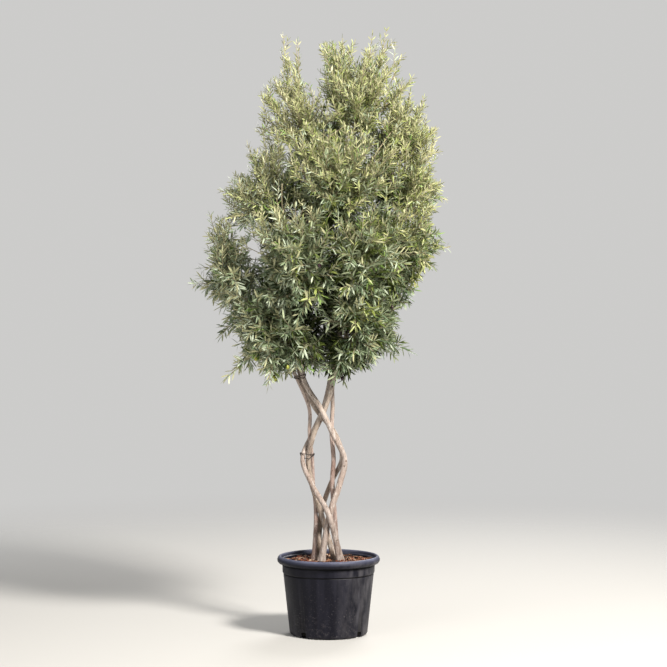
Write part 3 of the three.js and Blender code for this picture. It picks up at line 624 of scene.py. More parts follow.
def makeStem(name, stem, phase):
    line = stem["line"]
    shares = np.linspace(0, 1, stemMesh["rings"])
    points, directions, length = along(line, shares)
    angle = turns(stemMesh["sides"])[None]
    radii = stemRadius(stem, points[:, 2], shares)[:, None]
    surface = barkRelief(radii, (shares * length)[:, None], angle, phase)
    # A knot is a low swelling exp(-away / 2) less a narrower dip; away: the distance squared, in knot sizes.
    dark = np.zeros_like(surface)
    for height, turn, size in stem["knots"]:
        around = (angle - math.radians(turn) + np.pi) % (2 * np.pi) - np.pi
        away = ((points[:, 2:] - height * mm) ** 2 + (around * radii) ** 2) / (size * mm) ** 2
        surface = surface + knotShape["swelling"] * size * mm * np.exp(-0.5 * away)
        surface = surface - knotShape["dimple"] * size * mm * np.exp(-knotShape["dimpleWidth"] * away)
        dark = np.maximum(dark, np.exp(-knotShape["darkWidth"] * away))
    rings = ringsAcross(points, directions, surface, stemMesh["sides"], np.array([0.0, -1.0, 0.0]))
    rings = np.concatenate([rings[:1] - np.array([0, 0, stemMesh["buried"]]), rings])
    # 0 bark, 1 knot, 2 cut wood: of the caps only the end of a stub is cut wood.
    isDark = (dark[:-1] > knotShape["shadedFrom"]).reshape(-1)
    shade = np.concatenate([np.zeros(stemMesh["sides"], int), isDark, [0, 0]])
    parts = [(rings.reshape(-1, 3), ringFaces(*rings.shape[:2]))]
    if "stub" in stem:
        parts.append(stubTube(line, stem))
        shade = np.concatenate([shade, np.zeros(len(parts[1][1][0]), int), [0, 2]])
    vertices, faceSets = joined(parts)
    piece = addMesh(name + "_stem_bark", vertices, faceSets, [barks[stem["bark"]], knotBark, cutWood],
                    faceMaterial=shade)
    nodes = [name + end for end in (("_stem_lower", "_stem_upper") if stem["split"] else ("_stem",))]
    carried = [mass + "_bough" for mass, data in crown.items() if data[2] == name and data[3] is None]
    return place(piece, "olive_bark", *nodes, *carried)


for index, (name, stem) in enumerate(stems.items()):
    foot = np.stack([stem["across"], stem["depth"], plaitHeights / mm], -1)
    stem["line"] = curveThrough(np.vstack([foot, stem["leader"]]) * mm)
    stem["crownShare"] = shareAtHeight(stem["line"], crownFoot + stemMesh["leaderFrom"])
    makeStem(name, stem, 1.7 * index)
print("stems made")


# Side boughs, each from its leader towards its mass

def makeSideBough(mass, stem, share):  # returns the place and the direction of its tip
    points, directions, _ = along(stem["line"], [share])
    start, leaving = points[0], directions[0]
    way = np.linalg.norm(mass["centre"] - start)
    bow = bowThrough(start, start + leaving * sideBough["rise"] * way,
                     mix(start, mass["centre"], sideBough["reach"]), sideBough["steps"])
    shares = np.linspace(0, 1, sideBough["rings"])
    points, directions, length = along(bow, shares)
    footRadius = sideBough["foot"] * stemRadius(stem, start[2], np.array(share))
    radii = mix(footRadius, leaderTipRadius, shares)[:, None]
    distance = (shares * length)[:, None] + sideBough["fluteStart"]
    radii = barkRelief(radii, distance, turns(sideBough["sides"])[None], mass["rank"])
    rings = ringsAcross(points, directions, radii, sideBough["sides"], sideHint(bow[-1] - bow[0]))
    piece = addRings(mass["name"] + "_side_bough", rings, barks[stem["bark"]])
    place(piece, "olive_bark", mass["name"] + "_bough")
    return points[-1], directions[-1]


masses = []
for name, (centre, reach, stemName, height, whips) in crown.items():
    mass = {"name": name, "centre": np.array(centre) * mm, "reach": np.array(reach) * mm,
            "whips": np.array(whips) * mm, "rank": len(masses)}
    stem = stems[stemName]
    if height is None:
        points, directions, _ = along(stem["line"], [1.0])
        mass["root"], mass["direction"] = points[0], directions[0]
    else:
        mass["root"], mass["direction"] = makeSideBough(mass, stem, shareAtHeight(stem["line"], height * mm))
    masses.append(mass)
print("side boughs made")


# Ties: two turns of wire round three stems, crossing once

wire = {"radius": 0.0016, "sides": 8, "steps": 160, "clearance": 0.0003, "bulge": 1.05, "smoothing": 900,
        "cross": 2.4, "over": 2.1, "lift": 1.5}
ties = {
    "tie_at_bend": {"stems": ["outer_left", "inner_left", "left_upright"], "height": 0.765, "sag": 0.019},
    "tie_under_crown": {"stems": ["front", "back", "left_upright"], "height": 1.098, "sag": 0.013},
}


def makeTie(name, tie):
    # The path keeps to the outermost of the three stems' sections. Its two turns swap places at the crossing.
    points, directions, radii = [], [], []
    for stemName in tie["stems"]:
        stem = stems[stemName]
        share = shareAtHeight(stem["line"], tie["height"])
        point, direction, _ = along(stem["line"], [share])
        points.append(point[0])
        directions.append(direction[0])
        radii.append(float(stemRadius(stem, point[0, 2], np.array(share))))
    centre, axis = np.mean(points, 0), unit(np.sum(directions, 0))
    right = unit(np.array([1, 0, 0]) - axis * axis[0])
    back = np.cross(axis, right)
    slant = np.array([np.dot(d, axis) for d in directions])
    seat = np.array([p + d * np.dot(centre - p, axis) / s - centre
                     for p, d, s in zip(points, directions, slant)])
    x, y = seat @ right, seat @ back
    reach = np.array(radii) * wire["bulge"] / slant + wire["clearance"] + wire["radius"]
    angle = np.linspace(0, 4 * np.pi, wire["steps"], endpoint=False)
    c, s = np.cos(angle), np.sin(angle)
    # The support of the three discs, smoothed: each direction takes the average of the discs' own places,
    # weighted by exp(smoothing times how far out the disc reaches there).
    soft = np.exp((x[:, None] * c + y[:, None] * s + reach[:, None]) * wire["smoothing"])
    weight = soft / soft.sum(0)
    across = (weight * (x[:, None] + reach[:, None] * c)).sum(0)
    depth = (weight * (y[:, None] + reach[:, None] * s)).sum(0)
    lift = wire["lift"] * wire["radius"] * np.cos(angle / 2 + wire["cross"])
    lift -= tie["sag"] * np.where(angle > 2 * np.pi, np.maximum(0, -s), 0) ** 1.5
    hump = wire["over"] * wire["radius"] * np.abs(np.sin(angle / 2 + wire["cross"])) ** 8
    out = np.where(angle < 2 * np.pi, hump, 0)
    path = centre + np.outer(across + out * c, right) + np.outer(depth + out * s, back) + np.outer(lift, axis)
    directions = unit(np.roll(path, -1, 0) - np.roll(path, 1, 0))
    rings = ringsAcross(path, directions, np.full((wire["steps"], 1), wire["radius"]), wire["sides"], axis)
    first = np.arange(wire["steps"])[:, None] * wire["sides"]
    loop = quadsBetween(first, np.roll(first, -1, 0), wire["sides"])
    place(addMesh(name + "_wire", rings, [loop], [wireMaterial]), "tie_wire", name)


wireMaterial = Finish("tieWire", (0.016, 0.012, 0.011), 0.5, 0.35).material
for name, tie in ties.items():
    makeTie(name, tie)
print("ties made")


# Crown: a spine from each bough's tip, shoots from the spine, twigs from the shoots, leaves on both

growth = {  # pairs are the least and the most; starts are shares of the limb that they leave
    "spineBend": 0.45, "spineRise": 0.25, "spineRadius": (0.0045, 0.0024), "spineSides": 8,
    "innerShoots": 5, "innerReach": (0.55, 0.95), "coreShoots": 80, "middleShoots": 180, "outerShoots": 310,
    "tipHeights": (1.10, 2.53), "tipInset": (0.84, 0.99), "seamFill": 0.9, "seamWidth": 0.07,
    "shootStarts": (0.05, 0.94), "shootLift": 0.1, "whipStarts": (0.3, 0.9), "whipLift": 0.05,
    "leadOut": (0.7, 0.7, 0.36), "shootRadius": (0.0028, 0.0011),
    "twigsOnShoot": 8, "twigStarts": (0.12, 0.95), "whipTwigStarts": 0.78, "twigRadius": (0.0013, 0.0008),
    "twigLength": (0.055, 0.120), "twigLoss": 0.35, "twigBow": 0.55, "whipTwigs": 0.48, "pastOutline": 0.012,
    "leafSlimness": (0.155, 0.200), "leafCurl": 0.10, "leafRoll": 1.2, "leafEnd": 0.985, "lowestLeaf": 1.02,
    "pastBox": 0.012, "lowCrown": 1.45, "highCrown": 1.95,
}
leafPairs = {  # pairs of leaves, the shares of the bow where they begin and end, the size of the last ones
    "twig": (6, 0.16, 0.95, 0.75), "shoot": (9, 0.3, 0.97, 0.75), "whip": (17, 0.22, 0.97, 0.7),
}
habit = {  # the least and the most in the lower crown, and in the upper one; slants are in degrees
    "twigSlant": ((36, 64), (24, 50)), "twigRise": ((-0.12, 0.3), (0.25, 0.8)),
    "twigDroop": ((-0.16, 0.1), (0.04, 0.2)), "leafSlant": ((32, 60), (27, 56)),
    "leafRise": ((-0.26, 0.12), (-0.10, 0.20)), "leafLength": ((0.042, 0.062), (0.027, 0.042)),
}
sparse = {"top_left": 0.45, "far_left": 0.60, "upper_left": 0.85}  # the share of twigs kept on open masses
skyGaps = [  # gaps that the crown keeps open in front view: centre across and up, half width and half height
    [-318, 1640, 31, 56], [66, 1272, 34, 27], [-76, 2420, 38, 80], [-74, 2530, 36, 70], [364, 2262, 28, 60],
    [-50, 1048, 120, 54], [-120, 1090, 38, 36],
]
hollow = [12, 1300, 58, 46]  # measured the same way: front leaves are missing and the twigs behind them show
extraTips = [  # more shoots, where the crown's own ones leave holes
    [10, -190, 2175], [30, 60, 2150], [175, -150, 2165], [170, 90, 2150], [-140, -190, 2060],
    [-130, 60, 2040], [205, -290, 1880], [215, 60, 1860], [245, -190, 2050], [240, 90, 2030],
    [302, -230, 1810], [-30, -150, 2240], [20, -120, 2330], [90, -140, 2260], [60, -320, 1900],
    [0, -330, 1760], [150, -185, 2105], [152, 60, 2095], [192, -280, 1812], [200, 80, 1800],
    [262, -190, 1985], [262, 100, 1975], [-345, -90, 1525], [-340, 90, 1505], [0, -190, 2115],
    [-20, 40, 2100], [330, -50, 2325], [335, 40, 2285], [285, -95, 2250], [270, 60, 2265], [462, -25, 2000],
    [452, 45, 1945], [458, -50, 1850], [460, -60, 1520], [-424, -110, 1142],
]
bareLimbs = [  # limbs that show between the sprays: their mass, start, bow and tip, and their radii
    ["upper_front", [-100, -22, 1840], [-170, -200, 1990], [60, -190, 2140], [4.5, 2.0]],
    ["upper_front", [92, -28, 1760], [90, -300, 1900], [283, -130, 2150], [5.0, 2.0]],
    ["middle_front_left", [-92, -32, 1640], [-210, -220, 1700], [-190, -290, 1900], [4.5, 2.0]],
    ["middle_right", [190, 40, 1680], [300, -110, 1700], [410, -70, 1880], [4.5, 2.0]],
    ["upper_back", [0, 140, 1700], [-130, 260, 1830], [-160, 240, 2070], [4.5, 2.0]],
    ["middle_back_right", [112, 196, 1440], [240, 300, 1520], [310, 230, 1780], [4.5, 2.0]],
]
crownOutline = {  # how far the crown's sprays reach to the left, to the right and in depth, by height
    "height": [1080, 1120, 1180, 1240, 1300, 1370, 1430, 1500, 1560, 1620, 1690,
               1760, 1830, 1890, 1950, 2010, 2080, 2150, 2250, 2350, 2430, 2580],
    "left": [-225, -262, -330, -440, -478, -482, -492, -556, -564, -543, -530,
             -500, -462, -450, -377, -317, -309, -300, -292, -283, -240, -200],
    "right": [70, 126, 232, 286, 300, 322, 347, 373, 432, 479, 500,
              488, 479, 479, 479, 479, 479, 458, 407, 368, 330, 270],
    "front": [150, 200, 262, 305, 328, 335, 340, 385, 425, 446, 446,
              415, 365, 368, 374, 362, 318, 240, 200, 165, 130, 60],
    "back": [150, 215, 300, 345, 372, 380, 372, 400, 430, 436, 425,
             395, 360, 384, 392, 376, 330, 262, 235, 205, 150, 60],
}
seams = [1440, 1790, 2090]  # the heights where the tiers of masses meet and more shoots fill the crown
shells = {  # how far out the shoots end, from least to most, and the first one's turn
    "outerShoots": (0.78, 0.99, 0), "middleShoots": (0.3, 0.75, 1.1), "coreShoots": (0.02, 0.3, 2.3),
}
viewer = {"across": 0.021, "away": 8.2, "height": 1.45, "lens": 103.9, "sensor": 36, "shift": -0.0607}
centres = np.array([mass["centre"] for mass in masses])
weights = np.array([np.prod(mass["reach"]) ** (2 / 3) for mass in masses])


def nearestMass(points):
    return np.argmin(((points[:, None] - centres) ** 2).sum(-1) - weights, axis=1)


def inOwnSpace(points, rank):  # nearer to the own mass's centre than to any other's, counted with their sizes
    away = ((points[..., None, :] - centres) ** 2).sum(-1) - weights
    own = np.take_along_axis(away, np.broadcast_to(rank, points.shape[:-1])[..., None], -1)
    return (away >= own - 0.004).all(-1)


def seenPlace(points):  # where the viewer sees a point, on the plane through the pot's axis, and its scale
    scale = viewer["away"] / (viewer["away"] + points[..., 1])
    x = viewer["across"] + (points[..., 0] - viewer["across"]) * scale
    z = viewer["height"] + (points[..., 2] - viewer["height"]) * scale
    return x, z, scale


def awayFrom(ellipse, points):  # as seen by the viewer: 0 at the ellipse's centre and 1 at its edge, squared
    x, z, _ = seenPlace(points)
    across, up, wide, high = ellipse
    return ((x - across * mm) / (wide * mm)) ** 2 + ((z - up * mm) / (high * mm)) ** 2


def inSkyGap(points, size):  # a size that differs from point to point makes a gap's edge ragged
    return np.any([awayFrom(gap, points) < 0.3 + 1.1 * size for gap in skyGaps], axis=0)


def inHollow(points, seed):
    inside = awayFrom(hollow, points) < 0.4 + 0.8 * chance(seed, 78)
    return inside & (points[..., 1] < -0.05) & (chance(seed, 79) < 0.8)


def outlineAt(z):
    return [np.interp(z, np.array(crownOutline["height"]) * mm, np.array(crownOutline[side]) * mm)
            for side in ("left", "right", "front", "back")]


def outwardness(points):
    # 0 at the crown's axis and 1 at its surface: the root of (x / side)^2 + (y / depth)^2, and x / side.
    left, right, front, back = outlineAt(points[..., 2])
    side = np.where(points[..., 0] < 0, -left, right)
    depth = np.where(points[..., 1] < 0, front, back)
    return np.hypot(points[..., 0] / side, points[..., 1] / depth), np.abs(points[..., 0]) / side


def shellTips(count, innermost, outermost, phase):
    # Points over the crown's surface or inside it: heights dealt out by its girth, turns by the golden angle.
    # At a turn a the place across is the reach to that side times cos(a), in depth the depth times sin(a).
    z = np.linspace(*growth["tipHeights"], 200)
    left, right, front, back = outlineAt(z)
    fuller = sum(np.exp(-((z - seam * mm) / growth["seamWidth"]) ** 2) for seam in seams)
    share = np.cumsum((right - left + front + back) * (1 + growth["seamFill"] * fuller))
    i = np.arange(count)
    z = np.interp((i + 0.5) / count, share / share[-1], z)
    left, right, front, back = outlineAt(z)
    c, s = np.cos(i * goldenAngle + phase), np.sin(i * goldenAngle + phase)
    inset = mix(innermost, outermost, chance(i, 21))
    across, depth = np.where(c > 0, right, -left) * c, np.where(s < 0, front, back) * s
    return np.stack([across * inset, depth * inset, z], -1)


def uprightness(height):  # 0 in the lower crown, where sprays spread and hang, 1 above, where they stand
    return ((height - growth["lowCrown"]) / (growth["highCrown"] - growth["lowCrown"])).clip(0, 1)


def drawn(key, up, luck):  # a value of `habit` for an uprightness, between its least and its most by luck
    (lowLeast, lowMost), (highLeast, highMost) = habit[key]
    return mix(mix(lowLeast, highLeast, up), mix(lowMost, highMost, up), luck)


def spineOf(mass):
    root, centre = mass["root"], mass["centre"]
    bend = root + mass["direction"] * growth["spineBend"] * np.linalg.norm(root - centre)
    return bowThrough(root, bend, centre + [0, 0, growth["spineRise"] * mass["reach"][2]], 24)


def innerTips(mass, seed):
    # Points inside the mass's reach, spread by the golden angle and drawn into the mass's own space.
    i = np.arange(growth["innerShoots"])
    height = 1 - 2 * (i + 0.5) / growth["innerShoots"]
    turn = i * goldenAngle + seed
    flat = np.sqrt(1 - height**2)
    outward = np.stack([np.cos(turn) * flat, np.sin(turn) * flat, height], -1)
    tips = mass["centre"] + outward * mass["reach"] * mix(*growth["innerReach"], chance(seed, i))[:, None]
    for _ in range(9):
        outside = ~inOwnSpace(tips, mass["rank"])
        tips[outside] = mix(tips[outside], mass["centre"], 0.09)
    return tips


def growShoots():
    # Shoots leave a mass's spine for points inside its reach and for the points of the whole crown's shells
    # that are nearest to it; whips end at their own tips.
    outer = [shellTips(growth[key], *values) for key, values in shells.items()] + [np.array(extraTips) * mm]
    outer = np.concatenate(outer)
    outer = outer[~inSkyGap(outer, 1.0)]
    outerRank = nearestMass(outer)
    rows = []
    for mass in masses:
        seed, centre, reach, whipTips = mass["rank"] + 1, mass["centre"], mass["reach"], mass["whips"]
        mass["spine"] = spineOf(mass)
        count = len(whipTips)
        share = mix(*growth["whipStarts"], (np.arange(count) + 0.5) / count)
        whipStarts, _, _ = along(mass["spine"], share)
        tips = np.concatenate([innerTips(mass, seed), outer[outerRank == mass["rank"]]])
        i = np.arange(len(tips))
        x, z, scale = seenPlace(tips)
        left, right = outlineAt(z)[:2]
        inset = mix(*growth["tipInset"], chance(seed, i + 20))
        tips[:, 0] += (x.clip(left * inset, right * inset) - x) / scale
        rise = ((tips[:, 2] - centre[2]) / reach[2]).clip(-1, 1)
        share = mix(*growth["shootStarts"], (0.5 + 0.5 * rise) * mix(0.5, 1, chance(seed, i + 40)))
        starts, _, _ = along(mass["spine"], share)
        for start, tip, lift, number, whip in (
                (whipStarts, whipTips, growth["whipLift"], seed * 31 + np.arange(count), True),
                (starts, tips, growth["shootLift"], seed * 57 + i, False)):
            rows.append((start, tip, np.full(len(tip), lift), number, np.full(len(tip), mass["rank"]),
                         np.full(len(tip), whip)))
    start, tip, lift, seed, rank, whip = (np.concatenate(parts) for parts in zip(*rows))
    # Low shoots arch over; high ones first lead out and then up, so that their ends stand upright.
    arched = mix(start, tip, 0.5)
    arched[:, 2] += lift * np.linalg.norm(tip - start, axis=1)
    standing = mix(start, tip, np.array(growth["leadOut"]))
    bow = mix(arched, standing, uprightness(tip[:, 2])[:, None])
    return {"start": start, "bow": bow, "tip": tip, "seed": seed, "rank": rank, "whip": whip}


def pointOn(bows, share):  # place and direction at a share of each bow; share has one more axis than the bows
    start, bow, tip = (bows[key][:, None] for key in ("start", "bow", "tip"))
    t = share[..., None]
    return bowAt(t, start, bow, tip), unit((1 - t) * (bow - start) + t * (tip - bow))


def squareTo(direction, turn):  # a unit vector square to each direction, turned about it
    level = unit(np.cross(direction, [0.03, 0.02, 1.0]))
    over = np.cross(direction, level)
    return level * np.cos(turn)[..., None] + over * np.sin(turn)[..., None]


def leaning(direction, turn, slant, rise):  # away from a direction by a slant, to the side of a turn, raised
    slant = np.radians(slant)[..., None]
    aim = direction * np.cos(slant) + squareTo(direction, turn) * np.sin(slant)
    aim[..., 2] += rise
    return unit(aim)


def growTwigs(shoots):
    # Twigs leave a shoot at a slant, round it by the golden angle, shorter towards its tip. The higher they
    # stand in the crown, the closer they keep to the shoot and the more they turn up.
    count = growth["twigsOnShoot"]
    j = np.arange(count)[None]
    seed = shoots["seed"][:, None]
    share = mix(*growth["twigStarts"], (j + 0.5 + 0.6 * (chance(seed, j + 300) - 0.5)) / count)
    share = np.where(shoots["whip"][:, None], growth["whipTwigStarts"] * share, share)
    point, direction = pointOn(shoots, share)
    up = uprightness(point[..., 2])
    turn = j * goldenAngle + 6.28 * chance(seed, 311)
    aim = leaning(direction, turn, drawn("twigSlant", up, chance(seed, j + 320)),
                  drawn("twigRise", up, chance(seed, j + 330)))
    length = mix(*growth["twigLength"], chance(seed, j + 340)) * (1 - growth["twigLoss"] * share)
    length = length * np.where(shoots["whip"], growth["whipTwigs"], 1.0)[:, None]
    tip = point + aim * length[..., None]
    tip[..., 2] += length * drawn("twigDroop", up, chance(seed, j + 350))
    rank, whip = (np.broadcast_to(shoots[key][:, None], share.shape) for key in ("rank", "whip"))
    x, z, _ = seenPlace(tip)
    left, right = outlineAt(z)[:2]
    spare = growth["pastOutline"]
    inOutline = (x > left - spare) & (x < right + spare) & (outwardness(tip)[0] < 1.06)
    fullness = np.array([sparse.get(mass["name"], 1.0) for mass in masses])[rank]
    keep = whip | (inOutline & ~inSkyGap(tip, chance(seed * 3 + j, 77)) & (chance(seed, j + 360) < fullness))
    bow = point + aim * growth["twigBow"] * length[..., None]
    return {"start": point[keep], "tip": tip[keep], "bow": bow[keep], "seed": (seed * 7 + j)[keep],
            "rank": rank[keep], "whip": whip[keep]}


def growLeaves(bows, count, first, last, sizeAtTip):
    # Pairs of leaves along each bow, each pair a quarter turn from the last, and one leaf at its end. Low
    # leaves are longer, spread and hang; high ones are shorter and lie closer to their twig.
    k = np.arange(count)[None]
    seed = bows["seed"][:, None]
    share = mix(first, last, (k + 0.35 * (chance(seed, k + 400) - 0.5)) / max(count - 1, 1))
    share = share.clip(0.02, growth["leafEnd"])
    point, direction = pointOn(bows, share)
    up = uprightness(point[..., 2] + 0.25 * (chance(seed, 430) - 0.5))
    turn = k * np.pi / 2 + 6.28 * chance(seed, 411) + 0.5 * (chance(seed, k + 412) - 0.5)
    sets = []
    for way in (0, 1):
        draw = k + 40 * way
        aim = leaning(direction, turn + way * np.pi, drawn("leafSlant", up, chance(seed, draw + 420)),
                      drawn("leafRise", up, chance(seed, draw + 500)))
        length = drawn("leafLength", up, chance(seed, draw + 600)) * mix(1, sizeAtTip, share)
        roll = growth["leafRoll"] * (2 * chance(seed, draw + 700) - 1)
        sets.append((point, aim, length, roll))
    end, endDirection = pointOn(bows, np.full((len(seed), 1), growth["leafEnd"]))
    endLength = sizeAtTip * drawn("leafLength", up[:, -1:], chance(seed, 800))
    sets.append((end, endDirection, endLength, 2 * chance(seed, 801) - 1))
    owner = np.arange(len(seed))[:, None]
    owners = np.concatenate([np.broadcast_to(owner, s[2].shape).reshape(-1) for s in sets])
    flat = [np.concatenate([s[n].reshape((-1, 3) if n < 2 else -1) for s in sets]) for n in range(4)]
    return flat, owners


# A leaf's outline and the middle of its upper side: along, across and over, in leaf lengths and widths. 0 is
# its foot and 3 its tip. Six faces meet at the middle above, four close the leaf below.
leafShape = np.array([[0, 0, 0], [0.26, -0.43, 0], [0.70, -0.41, 0], [1, 0, 0], [0.70, 0.41, 0],
                      [0.26, 0.43, 0], [0.48, 0, 0.16]])
leafTop = np.array([[0, 1, 6], [1, 2, 6], [2, 3, 6], [3, 4, 6], [4, 5, 6], [5, 0, 6]])
leafUnder = np.array([[0, 5, 1], [1, 5, 4], [1, 4, 2], [2, 4, 3]])
tones = {  # the painted light at which each paler tone begins, the draws past which a leaf or spray differs, heights
    "steps": [0.03, 0.18, 0.38, 0.64], "underSteps": [0.08, 0.48],
    "paleLeaf": 0.85, "shadedLeafLow": 0.82, "shadedLeafHigh": 0.88, "shadedLeafHeight": 1.75,
    "twoTonesBelow": 1.95, "freshSpray": 0.96, "yellowLeaf": 0.999, "paleSpray": 0.25,
}
paleSprays = [[-430, 1125, 66], [-124, 1838, 40], [-62, 1770, 44]]  # at the front: across, up and radius


paintedCrownLight = {  # painted light and shade: what the height, the surface, the left edge and the top add, and how much is left to chance
    "middle": 0.40, "middleHeight": 1.72, "height": 0.37, "surface": 0.95, "surfaceLoss": 0.55,
    "inside": 0.82, "edge": 0.44, "summit": 0.45, "chance": 0.62,
}


def sprayLight(points, seed):  # how lit a spray is painted, from 0 in painted shade to 1 in painted light
    # Painted light: paler high up, at the crown's surface, at its left edge and on its top except at the
    # right; painted shade: darker inside.
    outward, aside = outwardness(points)
    x, z = points[:, 0], points[:, 2]
    rise = paintedCrownLight["height"] * (z - paintedCrownLight["middleHeight"]) / 0.8
    edge = np.where(x < 0, paintedCrownLight["edge"], 0.0) * aside.clip(0, 1)
    depth = paintedCrownLight["surface"] - paintedCrownLight["surfaceLoss"] * ((z - 1.95) / 0.4).clip(0, 1)
    summit = paintedCrownLight["summit"] * ((z - 2.0) / 0.25).clip(0, 1) * (0.25 - x).clip(0, 0.3)
    return (paintedCrownLight["middle"] + rise + depth * (outward.clip(0, 1) - paintedCrownLight["inside"]) + edge + summit
            + paintedCrownLight["chance"] * (chance(seed, 900) - 0.5)).clip(0, 1)


def leafColors(points, light, seed, number):
    # Numbers of leafNames for the upper sides and the undersides. A spray has one tone of painted light and
    # shade, from which one leaf in seven is paler, a painted highlight, and one in six to eight darker,
    # painted shade. Low and left the tones are cooler, right they are warmer. A few sprays are fresh or
    # silvery and a few leaves yellow.
    # The undersides are painted paler and darker by the same light.
    x, z = points[:, 0], points[:, 2]
    tone = np.digitize(light, tones["steps"])
    glinting = chance(number, 970) > tones["paleLeaf"]
    shadedFrom = np.where(z < tones["shadedLeafHeight"], tones["shadedLeafLow"], tones["shadedLeafHigh"])
    shaded = chance(number, 971) > shadedFrom
    down = np.maximum(tone - np.where(z < tones["twoTonesBelow"], 2, 1), 0)
    tone = np.where(glinting, np.minimum(tone + 2, 4), np.where(shaded, down, tone))
    coolShare = np.maximum(0.88 - 1.0 * (z - 1.35) - 0.9 * x, 0.26 - 0.5 * x)
    cool = (chance(seed, 905) < coolShare) & (tone > 1)
    warmShare = 0.10 + 1.1 * x - 2.0 * (z - 2.05).clip(0, 1)
    warm = (chance(seed, 906) < warmShare) & (tone > 2) & ~cool
    color = np.where(cool, tone + 3, np.where(warm, tone + 5, tone))
    color = np.where((chance(seed, 901) > tones["freshSpray"]) & (tone > 1), leafNames.index("fresh"), color)
    spots = np.array(paleSprays) * mm
    apart = np.linalg.norm(points[:, None, [0, 2]] - spots[:, :2], axis=2)
    near = (apart < spots[:, 2]).any(1) & (chance(seed, 907) > tones["paleSpray"]) & (points[:, 1] < 0)
    color = np.where(near, leafNames.index("silverPale"), color)
    color = np.where(chance(number, 960) > tones["yellowLeaf"], leafNames.index("yellow"), color)
    return color, np.digitize(light, tones["underSteps"]) + leafNames.index("dull")


def leafMesh(name, leaves):
    # place = foot + along*length*aim + across*width*side + (over*width - curl*along^2*length)*top
    foot, aim, length, roll, color, under = leaves
    level = unit(np.cross(aim, [0.02, 0.01, 1.0]))
    side = level * np.cos(roll)[:, None] + np.cross(aim, level) * np.sin(roll)[:, None]
    top = np.cross(aim, side)
    flip = np.where(top[:, 2] < -0.25, -1.0, 1.0)[:, None]
    side, top = side * flip, top * flip
    width = length * mix(*growth["leafSlimness"], chance(np.arange(len(foot)), 950))
    ahead, across, over = leafShape.T
    over = over * width[:, None] - growth["leafCurl"] * ahead**2 * length[:, None]
    places = (foot[:, None] + (ahead * length[:, None])[..., None] * aim[:, None]
              + (across * width[:, None])[..., None] * side[:, None] + over[..., None] * top[:, None])
    faces = np.concatenate([leafTop, leafUnder])
    allFaces = (np.arange(len(foot))[:, None, None] * len(leafShape) + faces).reshape(-1, 3)
    paint = np.repeat(np.stack([color, under], 1), (len(leafTop), len(leafUnder)), 1).reshape(-1)
    return addMesh(name, places, [allFaces], leafMaterials, False, paint)


def bowTubes(bows, radii, steps, sides):  # each bow as a thin tube, all of them in one array of vertices
    path = bowThrough(bows["start"], bows["bow"], bows["tip"], steps)
    ahead = unit(np.gradient(path, axis=1))
    hint = sideHint(bows["tip"] - bows["start"])[:, None]
    taper = np.broadcast_to(mix(*radii, np.linspace(0, 1, steps))[None, :, None], (*path.shape[:2], 1))
    rings = ringsAcross(path, ahead, taper, sides, hint)
    offset = np.arange(len(path))[:, None, None] * steps * sides
    return rings.reshape(-1, 3), [(offset + part[None]).reshape(-1, part.shape[1])
                                  for part in ringFaces(steps, sides)]


def chosen(bows, mask):
    return {key: values[mask] for key, values in bows.items()}


def spineTube(spine):
    shares = np.linspace(0, 1, 10)
    points, directions, _ = along(spine, shares)
    radii = mix(*growth["spineRadius"], shares)[:, None]
    rings = ringsAcross(points, directions, radii, growth["spineSides"], sideHint(spine[-1] - spine[0]))
    return rings.reshape(-1, 3), ringFaces(*rings.shape[:2])


def limbTube(start, bow, tip, radii):
    limb = {key: np.array([point]) * mm for key, point in (("start", start), ("bow", bow), ("tip", tip))}
    return bowTubes(limb, np.array(radii) * mm, 14, 7)


def allLeaves(shoots, twigs):
    # foot, aim, length, roll, colour above and colour below of every leaf that is kept, and its mass's rank
    rows = []
    for kind, bows in (("twig", twigs), ("shoot", chosen(shoots, ~shoots["whip"])),
                       ("whip", chosen(shoots, shoots["whip"]))):
        values, owner = growLeaves(bows, *leafPairs[kind])
        light = sprayLight(bows["tip"], bows["seed"])
        rows.append((*values, light[owner], *(bows[key][owner] for key in ("seed", "rank", "whip"))))
    foot, aim, length, roll, light, seed, rank, onWhip = (np.concatenate(parts) for parts in zip(*rows))
    number = np.arange(len(foot))
    color, under = leafColors(foot, light, seed, number)
    middle, end = (foot + aim * share * length[:, None] for share in (0.6, 1.0))
    low, high = (np.array(corner) for corner in cadBox)
    keep = (onWhip | ~inSkyGap(middle, chance(number, 77))) & ~inHollow(middle, number)
    keep &= foot[:, 2] > growth["lowestLeaf"]
    keep &= ((end > low - growth["pastBox"]) & (end < high + growth["pastBox"])).all(-1)
    return [values[keep] for values in (foot, aim, length, roll, color, under)], rank[keep]


shoots = growShoots()
twigs = growTwigs(shoots)
leaves, leafRank = allLeaves(shoots, twigs)
for mass in masses:
    name, rank = mass["name"], mass["rank"]
    ownLeaves = [values[leafRank == rank] for values in leaves]
    place(leafMesh(name + "_leaves", ownLeaves), "leaves", name + "_foliage")
    parts = [spineTube(mass["spine"])]
    parts.append(bowTubes(chosen(shoots, shoots["rank"] == rank), growth["shootRadius"], 6, 5))
    parts.append(bowTubes(chosen(twigs, twigs["rank"] == rank), growth["twigRadius"], 4, 3))
    parts += [limbTube(*limb) for owner, *limb in bareLimbs if owner == name]
    place(addMesh(name + "_twigs", *joined(parts), [twigBark]), "olive_bark", name + "_foliage")
print("crown made with", len(leafRank), "leaves and", len(twigs["seed"]), "twigs")


# Olives: some green ones at the foot of the crown on the left, a few ripe ones

